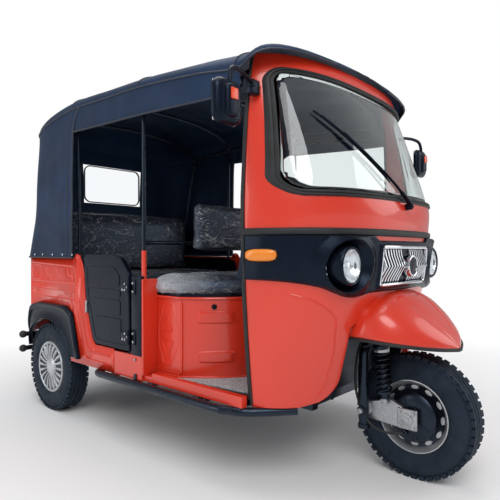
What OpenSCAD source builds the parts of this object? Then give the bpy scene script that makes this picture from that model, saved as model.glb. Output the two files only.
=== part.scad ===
// Three-wheeled passenger rickshaw, in millimetres.
// +X is forward, +Y is the left side and +Z is up. The origin is on the
// ground, midway between the rear bumper and the front of the front tyre.
// Inside each part, X is counted from the rear axle.

/* [Running gear] */
// Distance from the rear axle to the front wheel centre
wheelbase = 2090; // [2050:5:2150]
// Distance between the middles of the rear tyres
rear_track = 1160; // [1150:2:1170]
// Outer diameter of each tyre
tyre_diameter = 531; // [515:1:545]
// Width of each tyre at its widest
tyre_width = 125; // [115:1:130]
// Radius of the rim barrel under the tyre beads
rim_radius = 153; // [145:1:158]
// Width of the rim between its flanges
rim_width = 100; // [90:1:106]
// Radius of the front stub axle
front_axle_r = 12; // [10:0.5:15]
// Radius of each rear axle stub
rear_axle_r = 14; // [12:0.5:18]
// Backward lean of the steering axis in degrees
rake = 20; // [16:1:24]
// Radius of the steering column
column_r = 19; // [16:0.5:22]

/* [Body] */
// Half of the body width at the rear panels
body_half = 650; // [640:1:665]
// Height of the lower edge of the body
sill_z = 345; // [330:1:360]
// Height of the top of the floor
floor_z = 372; // [368:1:385]
// Height of the black belt strip round the cab
belt_z = 1056; // [1040:1:1075]
// Radius of the hole in the tow plate
tow_bore_r = 11; // [9:0.5:13]
// Thickness of the rear side panels
panel_t = 25; // [18:1:30]
// Thickness of the cab shell
shell_t = 28; // [20:1:36]
// Distance from the rear axle to the rear edge of the cab
cab_rear_x = 1645; // [1630:1:1665]
// Thickness of each half door
door_t = 30; // [24:1:36]
// Clearance round each half door
door_gap = 9; // [7:1:12]

/* [Canopy] */
// Half of the canopy width at its side seams
canopy_half = 658; // [654:1:668]
// Thickness of the canopy cloth and its lining
canopy_t = 12; // [8:1:16]
// Change in height of the canopy crown
crown_lift = 0; // [-20:1:25]
// Radius of the canopy frame tubes
tube_r = 10; // [8:0.5:12]

/* [Seats] */
// Height of the driver's seat box above the floor
seat_box_h = 385; // [365:1:400]
// Thickness of the driver's cushion
driver_cushion_t = 70; // [55:1:85]
// Thickness of the passenger bench cushion
bench_cushion_t = 100; // [80:1:115]

/* [Hidden] */
$fn = 48;
run_fit = 0.05;
seat_gap = 0.3;
moving_gap = 6;
skin_gap = 0.6;
tyre_r = tyre_diameter / 2;
wheel_z = tyre_r;
track_y = rear_track / 2;
bumper_reach = 430;
bumper_x = -405;
bumper_z = [325, 420];
front_reach = wheelbase + tyre_r;
nose_x = wheelbase - 56;
mid_x = (front_reach - bumper_reach) / 2;
floor_t = 25;
rail_top_z = 452;
rail_w = 40;
well_t = 12;
seal_t = 14;
brace_r = 14;
column_top = 555;
head_r = column_r + 14;
axle_tube_r = 28;
bumper_r = 16;
shock_eye_r = 15;
shock_pin_r = 9;
lamp_y = 393;
lamp_z = 922;
lamp_r = 85;
grille_half = 220;
grille_z = [834, 998];
rail_y = 300;
steer_x = wheelbase - 185;
steer_z = 600;
shock_top = [wheelbase - 112, steer_z - 8];
shock_low = [wheelbase - 90, wheel_z + 64.5];
tail_x = -338;
tail_r = 70;
tail_top_z = 942;
stem_y = 120;
pivot_x = wheelbase - 195;
pivot_z = wheel_z + 8;
well_half = 290;
well_rear_x = wheelbase - 325;
well_roof_z = 680;
plan_x = cab_rear_x - 195;
nose_l = nose_x - plan_x;
plan_n = 2.8;
plan_steps = 24;
tube_sides = 12;
post_x = cab_rear_x - 608;
pole_x = post_x - 82;
pole_y = body_half - 30;
seat_rear_x = pole_x + 2;
seat_arc_x = seat_rear_x - 121;
seat_arc_r = 644;
seat_side_y = 560;
seat_top_z = floor_z + seat_box_h;
lid_gap = 6;
lid_t = 12;
lid_z = seat_top_z + lid_gap;
seat_hinge_x = seat_rear_x - 9;
seat_hinge_z = lid_z + lid_t / 2;
door_face_y = body_half + 5;
door_y = door_face_y - door_t;
hinge_x = post_x - 149;
hinge_y = door_face_y + 10;
pin_r = 5;
hinge_heights = [550, 800];
bench_top_z = 715;

// Height, half length and half width of the cab plan at each level
cab_levels = [
  [sill_z, nose_l - 139, body_half - 38],
  [480, nose_l - 101, body_half - 28],
  [620, nose_l - 67, body_half - 18],
  [800, nose_l - 28, body_half - 7],
  [930, nose_l - 8, body_half - 2],
  [belt_z, nose_l, body_half],
  [1200, nose_l + 2, body_half],
  [1460, nose_l - 87, body_half - 10],
  [1723, nose_l - 193, body_half - 22],
  [1790, nose_l - 218, body_half - 32]];

// Linear mix of the level table at height z
function at_level(z, i = 0) =
  i >= len(cab_levels) - 2 || z <= cab_levels[i + 1][0]
  ? let (a = cab_levels[i], b = cab_levels[i + 1], k = (z - a[0]) / (b[0] - a[0]))
    [z, a[1] + k * (b[1] - a[1]), a[2] + k * (b[2] - a[2])]
  : at_level(z, i + 1);

function sgn_pow(v, p) = sign(v) * pow(abs(v), p);

// One plan ring of the cab at the same angles for every offset, carried back by rear
function cab_ring(z, out, rear) =
  let (s = at_level(z), l = s[1] + out, w = s[2] + out,
       am = acos(pow((cab_rear_x - plan_x) / s[1], plan_n / 2)),
       ring = [for (i = [0 : plan_steps])
         let (a = -am + 2 * am * i / plan_steps)
         [plan_x + l * pow(cos(a), 2 / plan_n), w * sgn_pow(sin(a), 2 / plan_n), z]])
  rear == 0 ? ring
  : concat([[cab_rear_x - rear, ring[0][1], z]], ring, [[cab_rear_x - rear, ring[plan_steps][1], z]]);

// Height list between two heights that keeps the table levels
function levels_between(z0, z1) =
  concat([z0], [for (s = cab_levels) if (s[0] > z0 + 5 && s[0] < z1 - 5) s[0]], [z1]);

module place() {
  translate([-mid_x, 0, 0]) children();
}

module both_sides() {
  children();
  mirror([0, 1, 0]) children();
}

// Closed skin through rings of equal length
module skin(rings) {
  n = len(rings[0]);
  m = len(rings);
  polyhedron(
    points = [for (r = rings) for (p = r) p],
    faces = concat(
      [[for (j = [0 : n - 1]) j]],
      [[for (j = [n - 1 : -1 : 0]) (m - 1) * n + j]],
      [for (i = [0 : m - 2]) for (j = [0 : n - 1])
        [i * n + j, (i + 1) * n + j, (i + 1) * n + (j + 1) % n]],
      [for (i = [0 : m - 2]) for (j = [0 : n - 1])
        [i * n + j, (i + 1) * n + (j + 1) % n, i * n + (j + 1) % n]]),
    convexity = 8);
}

// Cab solid between two heights, grown outwards by out
module cab_solid(z0, z1, out = 0, rear = 0) {
  skin([for (z = levels_between(z0, z1)) cab_ring(z, out, rear)]);
}

// Curved wall that follows the cab between two offsets
module cab_wall(z0, z1, outer, inner, rear = 0) {
  difference() {
    cab_solid(z0, z1, outer, rear);
    cab_core(z0, z1, inner, rear + 20);
  }
}

// Filling of a cab wall, long enough to cut through both ends
module cab_core(z0, z1, inner, rear) {
  rings = [for (z = levels_between(z0, z1)) cab_ring(z, inner, rear)];
  first = [for (p = rings[0]) [p[0], p[1], p[2] - 1]];
  last = [for (p = rings[len(rings) - 1]) [p[0], p[1], p[2] + 1]];
  skin(concat([first], rings, [last]));
}

// Whole cab skin solid, used to trim what fits against it
module cab_trim(out) {
  cab_solid(sill_z, 1790, out, 40);
}

// Unit vector halfway between the runs that meet at point i
function run_dir(pts, i) =
  let (a = pts[max(i - 1, 0)], b = pts[min(i + 1, len(pts) - 1)], p = pts[i],
       u = i > 0 ? (p - a) / norm(p - a) : [0, 0, 0],
       v = i < len(pts) - 1 ? (b - p) / norm(b - p) : [0, 0, 0])
  (u + v) / norm(u + v);

// How far a mitre at point i widens the tube
function mitre(pts, i) =
  i == 0 || i == len(pts) - 1 ? 1
  : let (u = (pts[i] - pts[i - 1]) / norm(pts[i] - pts[i - 1]))
    1 / (u * run_dir(pts, i));

// Round tube swept along the runs between points that lie near the plane across up
module tube_path(pts, r, up = [0, 0, 1]) {
  skin([for (i = [0 : len(pts) - 1])
    let (d = run_dir(pts, i), s = cross(up, d), a = s / norm(s), b = cross(d, a), m = mitre(pts, i))
    [for (j = [0 : tube_sides - 1]) let (t = 360 * j / tube_sides)
      pts[i] + r * (cos(t) * m * a + sin(t) * b)]]);
}

module rod(a, b, r) {
  d = b - a;
  l = norm(d);
  translate(a)
    rotate([0, acos(d[2] / l), atan2(d[1], d[0])])
      cylinder(r = r, h = l, $fn = 24);
}

// Cylinder along Y between two places
module y_cyl(x, y0, y1, z, r) {
  translate([x, y1, z]) rotate([90, 0, 0]) cylinder(r = r, h = y1 - y0);
}

// Plate in the side plane from an X and Z outline
module side_plate(pts, y0, y1) {
  translate([0, y1, 0]) rotate([90, 0, 0]) linear_extrude(y1 - y0) polygon(pts);
}

// Rounded outline from corner points and one radius per corner
function round_corner(p, a, b, r, n = 5) =
  let (u = (a - p) / norm(a - p), v = (b - p) / norm(b - p), h = acos(u * v) / 2,
       c = p + (u + v) / norm(u + v) * r / sin(h), t = r / tan(h),
       s = p + u * t, e = p + v * t, as = atan2(s[1] - c[1], s[0] - c[0]),
       d0 = atan2(e[1] - c[1], e[0] - c[0]) - as, d = d0 > 180 ? d0 - 360 : d0 < -180 ? d0 + 360 : d0)
  [for (i = [0 : n]) c + r * [cos(as + d * i / n), sin(as + d * i / n)]];

function round_poly(pts, rs) =
  let (n = len(pts))
  [for (i = [0 : n - 1]) each round_corner(pts[i], pts[(i + n - 1) % n], pts[(i + 1) % n], rs[i])];

// Frame and axle
module chassis_rails() {
  color([0.09, 0.09, 0.1]) place() {
    both_sides() side_plate([[-340, 390], [340, 390], [450, 285], [well_rear_x - 8, 285],
      [well_rear_x - 8, floor_z - floor_t], [475, floor_z - floor_t], [365, rail_top_z], [-340, rail_top_z]],
      rail_y - rail_w / 2, rail_y + rail_w / 2);
  }
}

module cross_members() {
  inner = rail_y - rail_w / 2;
  outer = rail_y + rail_w / 2;
  color([0.09, 0.09, 0.1]) place() {
    for (x = [500, 900, 1300, well_rear_x - 60])
      translate([x, -inner, 295]) cube([40, 2 * inner, floor_z - floor_t - 295]);
    for (x = [-335, 290])
      translate([x, -inner, 400]) cube([40, 2 * inner, 45]);
    both_sides() for (x = [640, 960, 1300])
      translate([x, outer, 310]) cube([36, body_half - 45 - outer, floor_z - floor_t - 310]);
    head_braces(brace_r);
    steering_axis() translate([0, 0, 90]) difference() {
      cylinder(r = head_r, h = 190);
      translate([0, 0, -1]) cylinder(r = column_r + run_fit, h = 192);
    }
  }
}

// Two tubes from the front cross-member to the steering head
module head_braces(r) {
  both_sides() tube_path([[well_rear_x - 40, 200, floor_z - floor_t - 10], [well_rear_x - 32, 120, 640],
    [axis_x(770) - 22, 22, 770]], r, [1, 0, 0]);
}

function axis_x(z) = steer_x - (z - steer_z) * tan(rake);

module steering_axis() {
  translate([steer_x, 0, steer_z]) rotate([0, -rake, 0]) children();
}

module rear_axle() {
  color([0.12, 0.12, 0.13]) place() {
    y_cyl(0, -track_y + 78, track_y - 78, wheel_z, axle_tube_r);
    translate([0, 0, wheel_z]) sphere(r = 95);
    translate([60, 60, wheel_z]) rotate([0, 90, 0]) cylinder(r = 72, h = 220);
    both_sides() {
      y_cyl(0, track_y - 82, track_y - 74, wheel_z, 112);
      y_cyl(0, track_y - 80, track_y + 42, wheel_z, rear_axle_r);
      y_cyl(0, track_y + 34, track_y + 46, wheel_z, rear_axle_r + 8);
    }
  }
}

// Length and height above the axle pad of each leaf
leaves = [[330, 0], [250, -9], [170, -18]];

module leaf_springs() {
  color([0.13, 0.13, 0.14]) place() both_sides() {
    for (l = leaves) translate([0, 385, wheel_z + 46 + l[1]]) leaf(l[0]);
    difference() {
      translate([-30, 383, wheel_z + 16]) cube([60, 54, 32]);
      y_cyl(0, 380, 440, wheel_z, axle_tube_r + seat_gap);
    }
    for (x = [-325, 325]) {
      translate([x - 20, 375, wheel_z + 78]) cube([40, 10, 100]);
      translate([x - 20, 435, wheel_z + 78]) cube([40, 10, 100]);
      translate([x - 20, rail_y + rail_w / 2, 420]) cube([40, 125, 24]);
      y_cyl(x, 375, 445, wheel_z + 96, 9);
      y_cyl(x, 385, 435, wheel_z + 96, 15);
    }
  }
}

// One curved leaf, its ends raised
module leaf(half) {
  rise = 45 * pow(half / 330, 2);
  bow = (half * half + rise * rise) / (2 * rise);
  translate([0, 50, bow]) rotate([90, 0, 0]) linear_extrude(50) difference() {
    circle(r = bow, $fn = 400);
    circle(r = bow - 8, $fn = 400);
    translate([-2 * bow, rise - bow]) square([4 * bow, 3 * bow]);
  }
}

module floor_pan() {
  z = floor_z - floor_t;
  front = well_rear_x - well_t;
  color([0.78, 0.16, 0.05]) place() difference() {
    union() {
      translate([400, -body_half + 45, z]) cube([cab_rear_x - seal_t - 400, 2 * body_half - 90, floor_t]);
      intersection() {
        translate([cab_rear_x - seal_t - 5, -body_half, z]) cube([front - cab_rear_x + seal_t + 5, 2 * body_half, floor_t]);
        cab_solid(sill_z, 480, -shell_t - skin_gap, 40);
      }
    }
    both_sides() translate([399, rail_y - rail_w / 2 - seat_gap, z - 1]) cube([77, rail_w + 2 * seat_gap, floor_t + 2]);
    head_braces(brace_r + skin_gap);
  }
}

module floor_mat() {
  color([0.42, 0.42, 0.43]) place() {
    translate([470, -body_half + 90, floor_z]) cube([seat_rear_x - 480, 2 * body_half - 180, 6]);
    difference() {
      translate([0, 0, floor_z]) linear_extrude(6) polygon([[post_x + 90, 70 - body_half],
        [cab_rear_x - 82, 115 - body_half], [well_rear_x - well_t - 4, -380], [well_rear_x - well_t - 4, 380],
        [cab_rear_x - 82, body_half - 115], [post_x + 90, body_half - 70]]);
      translate([seat_arc_x, 0, floor_z - 1]) cylinder(r = seat_arc_r + 12, h = 8, $fn = 96);
      head_braces(brace_r + skin_gap);
    }
  }
}

module wheelhouses() {
  color([0.6, 0.13, 0.05]) place() intersection() {
    both_sides() {
      translate([-300, 488, 350]) cube([690, 10, 240]);
      translate([-300, 488, 580]) cube([690, body_half - 488, 10]);
      translate([330, 488, 350]) cube([10, body_half - 488, 240]);
    }
    linear_extrude(700) rear_plan(panel_t + seat_gap);
  }
}

// Front edge of the rear side panel along the half door
door_edge = [[376, 956], [416, 912], [432, 856], [445, 736], [475, 627], [518, 502], [548, 472]];

module quarter_panels() {
  color([0.85, 0.17, 0.05]) place() both_sides() difference() {
    side_plate(concat([[tail_x + tail_r, sill_z], [tail_x + tail_r, tail_top_z], [332, 938], [352, 967]], door_edge,
      [[733, 472], [733, sill_z]]), body_half - panel_t, body_half);
    y_cyl(0, body_half - panel_t - 5, body_half + 5, wheel_z, 300);
    translate([-305, body_half - panel_t - 5, 0]) cube([610, panel_t + 10, wheel_z + 90]);
  }
}

// Plan of the rear body with rounded corners, drawn in by inset
module rear_plan(inset) {
  r = tail_r - inset;
  w = body_half - inset;
  x = tail_x + inset;
  union() {
    translate([x + r, -w]) square([700, 2 * w]);
    translate([x, -w + r]) square([700, 2 * (w - r)]);
    for (s = [-1, 1]) translate([x + r, s * (w - r)]) circle(r = r);
  }
}

module tail_panel() {
  color([0.85, 0.17, 0.05]) place() difference() {
    union() {
      translate([0, 0, rail_top_z]) linear_extrude(tail_top_z - rail_top_z) rear_plan(0);
      translate([0, 0, 371]) linear_extrude(rail_top_z - 371) intersection() {
        rear_plan(0);
        for (s = [-1, 1]) translate([tail_x - 50, s * (body_half - 75) - 75]) square([300, 150]);
      }
    }
    translate([0, 0, 300]) linear_extrude(700) rear_plan(panel_t);
    translate([tail_x + tail_r, -body_half - 50, 300]) cube([1000, 2 * body_half + 100, 700]);
    both_sides() y_cyl(0, 480, body_half + 50, wheel_z, 300);
  }
}

module tail_lamps() {
  color([0.7, 0.05, 0.05]) place() both_sides()
    translate([tail_x - 22, body_half - 205, 690]) cube([22, 110, 170]);
}

// Moulding round the wheel arch that follows the rear corner, with a thicker inner lip
module arch_flares() {
  color([0.04, 0.04, 0.045]) place() {
    arch_band(14, 400);
    arch_band(22, 348);
  }
}

// Part of the arch moulding that stands out by a depth and ends at a radius
module arch_band(out, reach) {
  intersection() {
    translate([0, 0, 352]) linear_extrude(320) difference() {
      rear_plan(-out);
      rear_plan(0);
    }
    both_sides() difference() {
      side_plate([[tail_x - 34, 371], [tail_x - 18, 410], [-215, 640], [-76, 665], [242, 662], [319, 625],
        [403, 352], [280, 352], [260, 371]], body_half - 60, body_half + out);
      y_cyl(0, body_half - 70, body_half + 40, wheel_z, 300);
      translate([-300, body_half - 70, 0]) cube([600, 110, wheel_z]);
    }
    if (reach < 400) both_sides() y_cyl(0, body_half - 100, body_half + 40, wheel_z, reach);
  }
}

module sill_panels() {
  post_rear = post_x - 65;
  color([0.85, 0.17, 0.05]) place() both_sides() {
    translate([735, pole_y + tube_r + seat_gap, sill_z]) cube([post_rear - 735, 18, 463 - sill_z]);
    translate([post_rear, body_half - 45, sill_z]) cube([66, 30, floor_z - sill_z]);
    translate([post_x, body_half - 45, sill_z]) cube([cab_rear_x - seal_t - post_x, 30, floor_z + 18 - sill_z]);
  }
}

module door_posts() {
  color([0.85, 0.17, 0.05]) place() both_sides() {
    translate([post_x - 65, body_half - 50, floor_z]) cube([65, 50, 844 - floor_z]);
    color([0.05, 0.05, 0.055]) {
      translate([post_x - 143, pole_y + tube_r + seat_gap, 463])
        cube([78, body_half + 2 - pole_y - tube_r - seat_gap, 393]);
      for (z = hinge_heights) hinge_pin(z);
    }
  }
}

// Pin with its two end knuckles and the leaf that holds them to the post
module hinge_pin(z) {
  translate([hinge_x, hinge_y, z - 36]) cylinder(r = pin_r, h = 72);
  for (dz = [-36, 21]) translate([hinge_x, hinge_y, z + dz]) cylinder(r = 9, h = 15);
  for (dz = [-36, 21]) translate([hinge_x, hinge_y - 9, z + dz]) cube([20, 5, 15]);
  translate([hinge_x + 12, body_half - 10, z - 36]) cube([32, hinge_y - body_half + 6, 72]);
}

module door_seals() {
  color([0.03, 0.03, 0.035]) place() intersection() {
    cab_wall(sill_z, 1790, 2, -shell_t, seal_t);
    translate([cab_rear_x - seal_t, -body_half - 20, floor_z]) cube([seal_t, 2 * body_half + 40, 1700 - floor_z]);
  }
}

module wheel_cut() {
  translate([well_rear_x, -well_half - 10, sill_z - 20])
    cube([600, 2 * well_half + 20, well_roof_z - sill_z + 20]);
}

module cab_cowl() {
  color([0.85, 0.17, 0.05]) place() difference() {
    cab_wall(sill_z, belt_z, 0, -shell_t);
    wheel_cut();
    lamp_cut();
    grille_cut();
  }
}

module lamp_cut() {
  both_sides() translate([nose_x - 134, lamp_y, lamp_z]) rotate([0, 90, 0])
    cylinder(r = lamp_r + seat_gap, h = 250);
}

module grille_cut() {
  translate([nose_x - 134, -grille_half - seat_gap, grille_z[0] - seat_gap])
    cube([300, 2 * (grille_half + seat_gap), grille_z[1] - grille_z[0] + 2 * seat_gap]);
}

// Windscreen outline seen from the front, grown by out
function screen(out) = round_poly(
  [[35 - body_half - out, 1198 - out], [body_half - 35 + out, 1198 - out], [body_half - 82 + out, 1723 + out],
    [82 - body_half - out, 1723 + out]],
  [95 + out, 95 + out, 85 + out, 85 + out]);

module screen_block(out) {
  translate([cab_rear_x + 20, 0, 0]) rotate([90, 0, 90]) linear_extrude(600) polygon(screen(out));
}

module cab_upper() {
  color([0.85, 0.17, 0.05]) place() difference() {
    cab_wall(belt_z, 1790, 0, -shell_t);
    screen_block(-16);
  }
}

module belt_trim() {
  color([0.03, 0.03, 0.035]) place() intersection() {
    cab_wall(930, 1200, 8, skin_gap);
    translate([0, -1000, belt_z - 10]) cube([3000, 2000, 20]);
  }
}

module wheel_well() {
  color([0.5, 0.12, 0.05]) place() difference() {
    union() {
      translate([well_rear_x - well_t, -well_half - 10, sill_z])
        cube([well_t, 2 * well_half + 20, well_roof_z + well_t - sill_z]);
      intersection() {
        cab_solid(sill_z, 800, -shell_t - skin_gap);
        union() {
          translate([well_rear_x - 5, -well_half - 10, well_roof_z]) cube([400, 2 * well_half + 20, well_t]);
          both_sides() translate([well_rear_x - 5, well_half, sill_z]) cube([400, 10, well_roof_z + 5 - sill_z]);
        }
      }
    }
    steering_axis() cylinder(r = head_r + skin_gap, h = 300);
    head_braces(brace_r + skin_gap);
    both_sides() translate([0, rail_y - rail_w / 2 - seat_gap, 280]) cube([well_rear_x - 8 + seat_gap, rail_w, floor_z - 280]);
    translate([0, -400, 280]) cube([well_rear_x - 20 + seat_gap, 800, 67 + seat_gap]);
  }
}

// Half of the mask outline, from the middle of its top round to the middle of its foot
mask_half = [[grille_half + 8, 1024], [grille_half + 42, 1045], [body_half + 50, 1045], [body_half + 50, 868],
  [body_half - 50, 862], [body_half - 110, 838], [lamp_y + 77, 802], [lamp_y - 63, 790], [grille_half + 30, 806]];

module nose_mask() {
  color([0.04, 0.04, 0.045]) place() difference() {
    intersection() {
      cab_wall(620, 1200, 14, skin_gap);
      translate([cab_rear_x - 5, 0, 0]) rotate([90, 0, 90]) linear_extrude(600)
        polygon(concat(mask_half, flip([for (p = mask_half) [-p[0], p[1]]])));
    }
    lamp_cut();
    grille_cut();
  }
}

module headlamps() {
  place() both_sides() translate([nose_x - 119, lamp_y, lamp_z]) rotate([0, 90, 0]) {
    color([0.04, 0.04, 0.045]) difference() {
      cylinder(r = lamp_r, h = 76);
      translate([0, 0, 40]) cylinder(r = lamp_r - 13, h = 60);
    }
    color([0.9, 0.9, 0.92]) translate([0, 0, 36]) cylinder(r = lamp_r - 15, h = 28);
  }
}

// Bright frame round upright ribs that are bent forward at half height
module grille() {
  mid = (grille_z[0] + grille_z[1]) / 2;
  color([0.8, 0.8, 0.82]) place() {
    difference() {
      translate([nose_x - 38, -grille_half, grille_z[0]]) cube([40, 2 * grille_half, grille_z[1] - grille_z[0]]);
      translate([nose_x - 28, -grille_half + 14, grille_z[0] + 12])
        cube([40, 2 * grille_half - 28, grille_z[1] - grille_z[0] - 24]);
    }
    both_sides() for (y = [52 : 20 : grille_half - 20])
      side_plate([[nose_x - 30, grille_z[0] + 8], [nose_x - 12, grille_z[0] + 8], [nose_x + 10, mid],
        [nose_x - 12, grille_z[1] - 8], [nose_x - 30, grille_z[1] - 8]], y, y + 9);
    translate([nose_x - 30, 0, mid - 2]) rotate([0, 90, 0]) cylinder(r = 38, h = 52);
  }
}

module side_markers() {
  color([0.95, 0.5, 0.05]) place() intersection() {
    cab_wall(800, 1056, 26, 14 + skin_gap);
    both_sides() translate([cab_rear_x + 5, body_half - 200, 930]) cube([150, 300, 50]);
  }
}

module windshield_gasket() {
  color([0.03, 0.03, 0.035]) place() intersection() {
    cab_wall(belt_z, 1790, 7, skin_gap);
    difference() {
      screen_block(0);
      screen_block(-26);
    }
  }
}

module windshield_glass() {
  color([0.75, 0.85, 0.88, 0.3]) place() intersection() {
    cab_wall(belt_z, 1790, -6, -12);
    screen_block(-16.3);
  }
}

// Point on the cab front at a place across, a height and an offset
function cab_at(y, z, out) =
  let (s = at_level(z), a = asin(pow(abs(y) / (s[2] + out), plan_n / 2)))
  [plan_x + (s[1] + out) * pow(cos(a), 2 / plan_n), y, z];

module wiper() {
  pivot = [0, 1175];
  joint = [-279, 1405];
  tips = [[-445, 1545], [-114, 1278]];
  color([0.03, 0.03, 0.035]) place() {
    difference() {
      rod([nose_x - 14, 0, pivot[1] - 10], [nose_x + 26, 0, pivot[1]], 14);
      cab_trim(skin_gap);
    }
    tube_path([for (k = [0 : 0.25 : 1]) let (q = pivot + k * (joint - pivot)) cab_at(q[0], q[1], 24 - 10 * k)], 6,
      [1, 0, 0]);
    tube_path([for (k = [0 : 0.2 : 1]) let (q = tips[0] + k * (tips[1] - tips[0])) cab_at(q[0], q[1], 5)], 7,
      [1, 0, 0]);
  }
}

module mirrors() {
  color([0.04, 0.04, 0.045]) place() both_sides() {
    difference() {
      translate([cab_rear_x + 15, body_half - 75, 1590]) cube([38, 77, 70]);
      cab_trim(skin_gap);
    }
    tube_path([[cab_rear_x + 50, body_half - 10, 1640], [cab_rear_x + 90, 740, 1640], [cab_rear_x + 103, 815, 1622],
      [cab_rear_x + 105, 830, 1590]], 8, [1, 0, 0]);
    translate([cab_rear_x + 87, 0, 0]) rotate([90, 0, 90]) linear_extrude(36)
      polygon(round_poly([[762, 1430], [902, 1430], [902, 1595], [762, 1595]], [38, 38, 38, 38]));
  }
}

// X, half width, edge height and crown height of each mudguard section
fender_rows = [
  [wheelbase - 165, 300, 618, 800],
  [wheelbase - 80, 300, 617, 806],
  [wheelbase - 10, 288, 614, 792],
  [wheelbase + 60, 256, 610, 745],
  [wheelbase + 130, 200, 606, 690],
  [wheelbase + 185, 125, 602, 645],
  [wheelbase + 213, 40, 598, 612]];

function fender_arc(r, inset) =
  [for (i = [0 : 16])
    let (t = 1 - 2 * i / 16, w = r[1] - inset, h = max(r[3] - r[2] - inset * 0.6, 4))
    [r[0], w * t, r[2] + h * pow(1 - pow(abs(t), 2.2), 0.62)]];

function flip(v) = [for (i = [len(v) - 1 : -1 : 0]) v[i]];

module front_fender() {
  color([0.85, 0.17, 0.05]) place() difference() {
    skin([for (r = fender_rows) fender_arc(r, 0)]);
    cab_trim(skin_gap);
    skin([for (i = [0 : len(fender_rows) - 1])
      let (r = fender_rows[i], x = r[0] - (i == 0 ? 2 : i == len(fender_rows) - 1 ? 16 : 0))
      concat([[x, r[1] - 14, r[2] - 10]], [for (p = fender_arc(r, 14)) [x, p[1], p[2]]],
        [[x, 14 - r[1], r[2] - 10]])]);
  }
}

module dashboard() {
  color([0.06, 0.06, 0.065]) place() difference() {
    intersection() {
      translate([steer_x - 115, -body_half, 930]) cube([115, 2 * body_half, 150]);
      cab_solid(800, 1200, -shell_t - skin_gap);
    }
    steering_axis() cylinder(r = column_r + moving_gap, h = 600);
  }
}

// Plan of the driver's seat box, grown by out
module seat_plan(out) {
  intersection() {
    translate([seat_arc_x, 0]) circle(r = seat_arc_r + out, $fn = 288);
    translate([seat_rear_x - out, -seat_side_y - out]) square([700, 2 * seat_side_y + 2 * out]);
  }
}

module seat_box() {
  color([0.85, 0.17, 0.05]) place() {
    difference() {
      translate([0, 0, floor_z]) linear_extrude(seat_box_h) seat_plan(0);
      translate([0, 0, floor_z + 10]) linear_extrude(seat_box_h) seat_plan(-12);
    }
    for (b = [[76, 58], [seat_box_h - 117, 54]])
      translate([seat_arc_x, 0, floor_z + b[0]]) rotate([0, 0, -37])
        rotate_extrude(angle = 74, $fn = 288) translate([seat_arc_r - 2, 0]) square([9, b[1]]);
    both_sides() translate([seat_rear_x, 0, floor_z]) {
      raised_ring([[70, 54], [136, 56], [176, 168], [176, seat_box_h - 149], [142, seat_box_h - 28],
        [72, seat_box_h - 26], [24, seat_box_h - 157], [24, 160]], 0.86);
      raised_ring([[48, seat_box_h - 176], [152, seat_box_h - 176], [100, seat_box_h - 80]], 0.6);
      raised_ring([[48, 170], [152, 170], [100, 84]], 0.6);
    }
    both_sides() translate([seat_hinge_x, 260, seat_hinge_z]) rotate([90, 0, 0])
      for (z = [0, 64]) translate([0, 0, z]) {
        cylinder(r = 8, h = 20);
        translate([0, -24, 0]) cube([14, 24, 20]);
      }
    both_sides() y_cyl(seat_hinge_x, 176, 260, seat_hinge_z, 4);
  }
}

// Pressed rib on the side of the seat box round a plate outline
module raised_ring(pts, share) {
  c = [for (i = [0, 1]) ([for (p = pts) p[i]] * [for (p = pts) 1]) / len(pts)];
  difference() {
    side_plate(pts, seat_side_y - 2, seat_side_y + 5);
    side_plate([for (p = pts) c + share * (p - c)], seat_side_y - 3, seat_side_y + 6);
  }
}

module seat_lid() {
  color([0.08, 0.08, 0.085]) place() {
    difference() {
      translate([0, 0, lid_z]) linear_extrude(lid_t) seat_plan(-2);
      both_sides() translate([seat_rear_x - 20, 170, lid_z - 1]) cube([34, 96, lid_t + 2]);
    }
    both_sides() translate([0, 238, 0]) difference() {
      union() {
        y_cyl(seat_hinge_x, -40, 0, seat_hinge_z, 8);
        translate([seat_hinge_x, -40, seat_hinge_z - 3]) cube([30, 40, 6]);
      }
      y_cyl(seat_hinge_x, -42, 2, seat_hinge_z, 4 + run_fit);
    }
  }
}

module driver_cushion() {
  color([0.15, 0.15, 0.16]) place()
    translate([0, 0, lid_z + lid_t]) linear_extrude(driver_cushion_t) seat_plan(-12);
}

module battery_pack() {
  color([0.2, 0.2, 0.22]) place() translate([40, -250, 445]) cube([320, 500, 200]);
}

module driver_backrest() {
  color([0.15, 0.15, 0.16]) place() {
    translate([pole_x + 23, -335, 985]) cube([66, 670, 250]);
  }
}

module bench_base() {
  color([0.85, 0.17, 0.05]) place() {
    difference() {
      translate([-290, -487, rail_top_z]) cube([710, 974, bench_top_z - rail_top_z]);
      translate([-300, -475, rail_top_z - 10]) cube([708, 950, bench_top_z - rail_top_z - 2]);
    }
    difference() {
      translate([400, -487, floor_z]) cube([20, 974, 100]);
      both_sides() translate([390, rail_y - rail_w / 2 - seat_gap, floor_z - 10])
        cube([40, rail_w + 2 * seat_gap, rail_top_z - floor_z + 10]);
    }
  }
}

module bench_cushion() {
  color([0.12, 0.13, 0.15]) place()
    translate([-60, -body_half + 60, bench_top_z]) cube([500, 2 * body_half - 120, bench_cushion_t]);
}

module bench_backrest() {
  color([0.12, 0.13, 0.15]) place()
    side_plate([[-70, bench_top_z + bench_cushion_t], [20, bench_top_z + bench_cushion_t + 6],
      [-70, 1262], [-150, 1250]], -body_half + 80, body_half - 80);
}

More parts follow.
